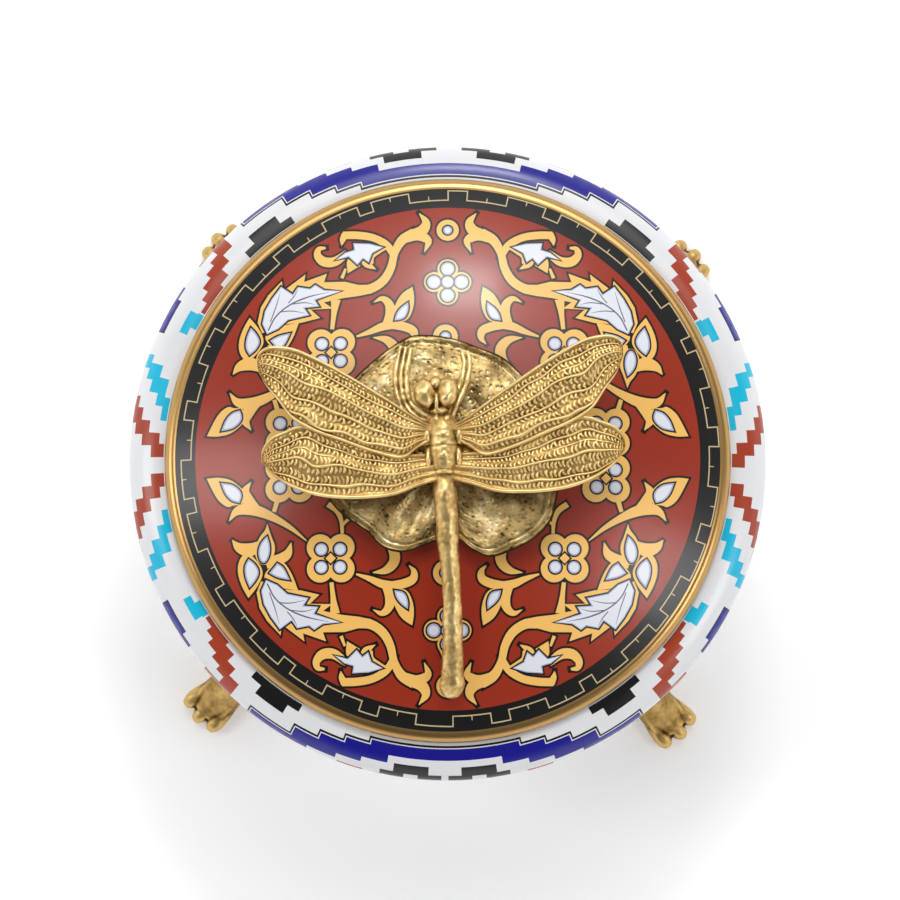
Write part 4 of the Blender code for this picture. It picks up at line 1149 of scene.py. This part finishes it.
def make_feet(mat):
    spine = []
    for share, wide, deep, gone in LEG_STATIONS:
        height = FOOT_TOP * share
        if gone == 0.0:
            knee = bowl_radius(height) + GAP + FOOT_W * deep * 0.35
        spine.append((knee + (STANCE - knee) * gone, height, wide, deep))
    rows = smooth_line(spine, 7 if FINE else 4)
    cast = Cast()
    around = 36
    rings = []
    for k, (x, z, wide, deep) in enumerate(rows):
        d = rows[min(k + 1, len(rows) - 1), :2] - rows[max(0, k - 1), :2]
        d /= np.linalg.norm(d)
        ring = []
        for i in range(around):
            a = 2 * math.pi * i / around
            flute = 1.0 + 0.05 * math.cos(5 * a) * (1 if z > 14 else 0)
            y = FOOT_W * wide * math.cos(a)
            off = -FOOT_W * deep * math.sin(a) * flute
            px, pz = x + d[1] * off, z - d[0] * off
            reach, least = math.hypot(px, y), bowl_radius(pz) + GAP
            if pz > BASE_Z and reach < least:
                px *= least / reach
                y *= least / reach
            ring.append((px, y, pz))
        rings.append(ring)
    cast.tube(rings)
    for side in (-1, 0, 1):
        length = TOE_LENGTH * (1.0 if side == 0 else 0.9)
        tip = STANCE - (0.0 if side == 0 else TOE * 0.4)
        turn = Matrix.Rotation(math.radians(9 * side), 4, "Z")
        centre = Matrix.Translation((tip - length, side * (FOOT_W / 2 - TOE), TOE * 1.15)) @ turn
        cast.ball(centre, (length, TOE, TOE * 1.3), 28, 18,
                  lambda v: float(np.sum(np.abs(v) ** 2.7)) ** (-1 / 2.7))
        ridge = [(STANCE - 5 - 3 * k, side * (3.4 - 0.35 * k), 3.4 + 0.7 * k + 0.55 * k * k) for k in range(5)]
        for x, y, z in smooth_line(ridge, 4):
            cast.ball(Matrix.Translation((x, y, z)), (1.7, 1.45, 1.7), 14, 8)
    skin = remeshed("paw", cast.mesh("paw"), 0.26 if FINE else 0.5)
    mesh = roughened(soothed(skin, 3), ((3.0, 0.14), (1.0, 0.03)))
    bm = bmesh.new()
    bm.from_mesh(mesh)
    cut = bmesh.ops.bisect_plane(bm, geom=bm.verts[:] + bm.edges[:] + bm.faces[:], dist=1e-7,
                                 plane_co=(0, 0, 0), plane_no=(0, 0, -1), clear_outer=True)
    bmesh.ops.holes_fill(bm, edges=[e for e in cut["geom_cut"] if isinstance(e, bmesh.types.BMEdge)], sides=0)
    bm.to_mesh(mesh)
    bm.free()
    for name, angle in (("foot_front_right", -47), ("foot_back_right", 43),
                        ("foot_back_left", 133), ("foot_front_left", 223)):
        copy = mesh.copy()
        copy.transform(Matrix.Rotation(math.radians(angle), 4, "Z"))
        dressed(name + "_bronze", copy, mat, name, reach=6, gain=6.0)


# Lamps: place, size and power
LAMPS = (("panel", (0.0, 0.62, 1.15), (1.1, 0.7), 5.2), ("back", (0.05, 0.7, 1.0), (0.24, 0.16), 2.4),
         ("right", (0.74, -0.3, 0.95), (0.3, 0.42), 2.1), ("left", (-0.78, 0.02, 0.92), (0.26, 0.5), 2.1))
CAMERA_TARGET, CAMERA_OFF, CAMERA_LENS = (0.0005, 0.00255, 0.062), (0, -0.0941, 0.9956), 182.0


def make_room():
    """Floor, a studio that is darker overhead, lamps and the camera at the photo's viewing angle."""
    floor_mat = plain("floor", (0.97, 0.97, 0.97), 0.7)
    shader = floor_mat.node_tree.nodes["Principled BSDF"]
    shader.inputs["Emission Color"].default_value = (1, 1, 1, 1)
    shader.inputs["Emission Strength"].default_value = 0.2
    mesh = bpy.data.meshes.new("floor")
    s = 3.0
    mesh.from_pydata([(-s, -s, 0), (s, -s, 0), (s, s, 0), (-s, s, 0)], [], [(0, 1, 2, 3)])
    mesh.materials.append(floor_mat)
    floor = placed("floor", mesh)
    world = bpy.data.worlds.new("studio")
    world.use_nodes = True
    nodes, links = world.node_tree.nodes, world.node_tree.links
    where = nodes.new("ShaderNodeTexCoord")
    split = nodes.new("ShaderNodeSeparateXYZ")
    fall = nodes.new("ShaderNodeMapRange")
    for key, value in (("From Min", 0.3), ("From Max", 0.72), ("To Min", 1.12), ("To Max", 0.12)):
        fall.inputs[key].default_value = value
    links.new(where.outputs["Generated"], split.inputs[0])
    links.new(split.outputs["Z"], fall.inputs["Value"])
    links.new(fall.outputs["Result"], nodes["Background"].inputs["Strength"])
    nodes["Background"].inputs["Color"].default_value = (1.0, 1.0, 1.0, 1)
    bpy.context.scene.world = world
    for name, place, size, power in LAMPS:
        lamp = bpy.data.lights.new(name, "AREA")
        lamp.shape = "RECTANGLE"
        lamp.size, lamp.size_y = size
        lamp.energy = power
        ob = placed(name, lamp)
        ob.location = place
        ob.rotation_euler = (Vector(place) - Vector((0, 0, 0.05))).to_track_quat("Z", "Y").to_euler()
    data = bpy.data.cameras.new("photo_view")
    data.lens, data.sensor_width = CAMERA_LENS, 36.0
    camera = placed("photo_view", data)
    target = Vector(CAMERA_TARGET)
    camera.location = target + Vector(CAMERA_OFF)
    camera.rotation_euler = (camera.location - target).to_track_quat("Z", "Y").to_euler()
    bpy.context.scene.camera = camera
    bpy.context.scene.view_settings.view_transform = "Standard"


make_bowl()
make_lid()
# Each bronze's dark, middle and bright colours: the dark one is patina with painted shade, the bright one wear
# with painted highlight.
make_leaf(bronze("leaf_bronze", (64, 50, 28), (190, 162, 106), (252, 236, 190), (0.55, 0.34)))
gilt_bronze = bronze("gilt_bronze", (88, 68, 36), (192, 154, 90), (250, 222, 156), (0.55, 0.36))
make_dragonfly(gilt_bronze)
make_feet(bronze("foot_bronze", (72, 54, 28), (156, 122, 66), (212, 178, 112), (0.6, 0.42)))
make_room()
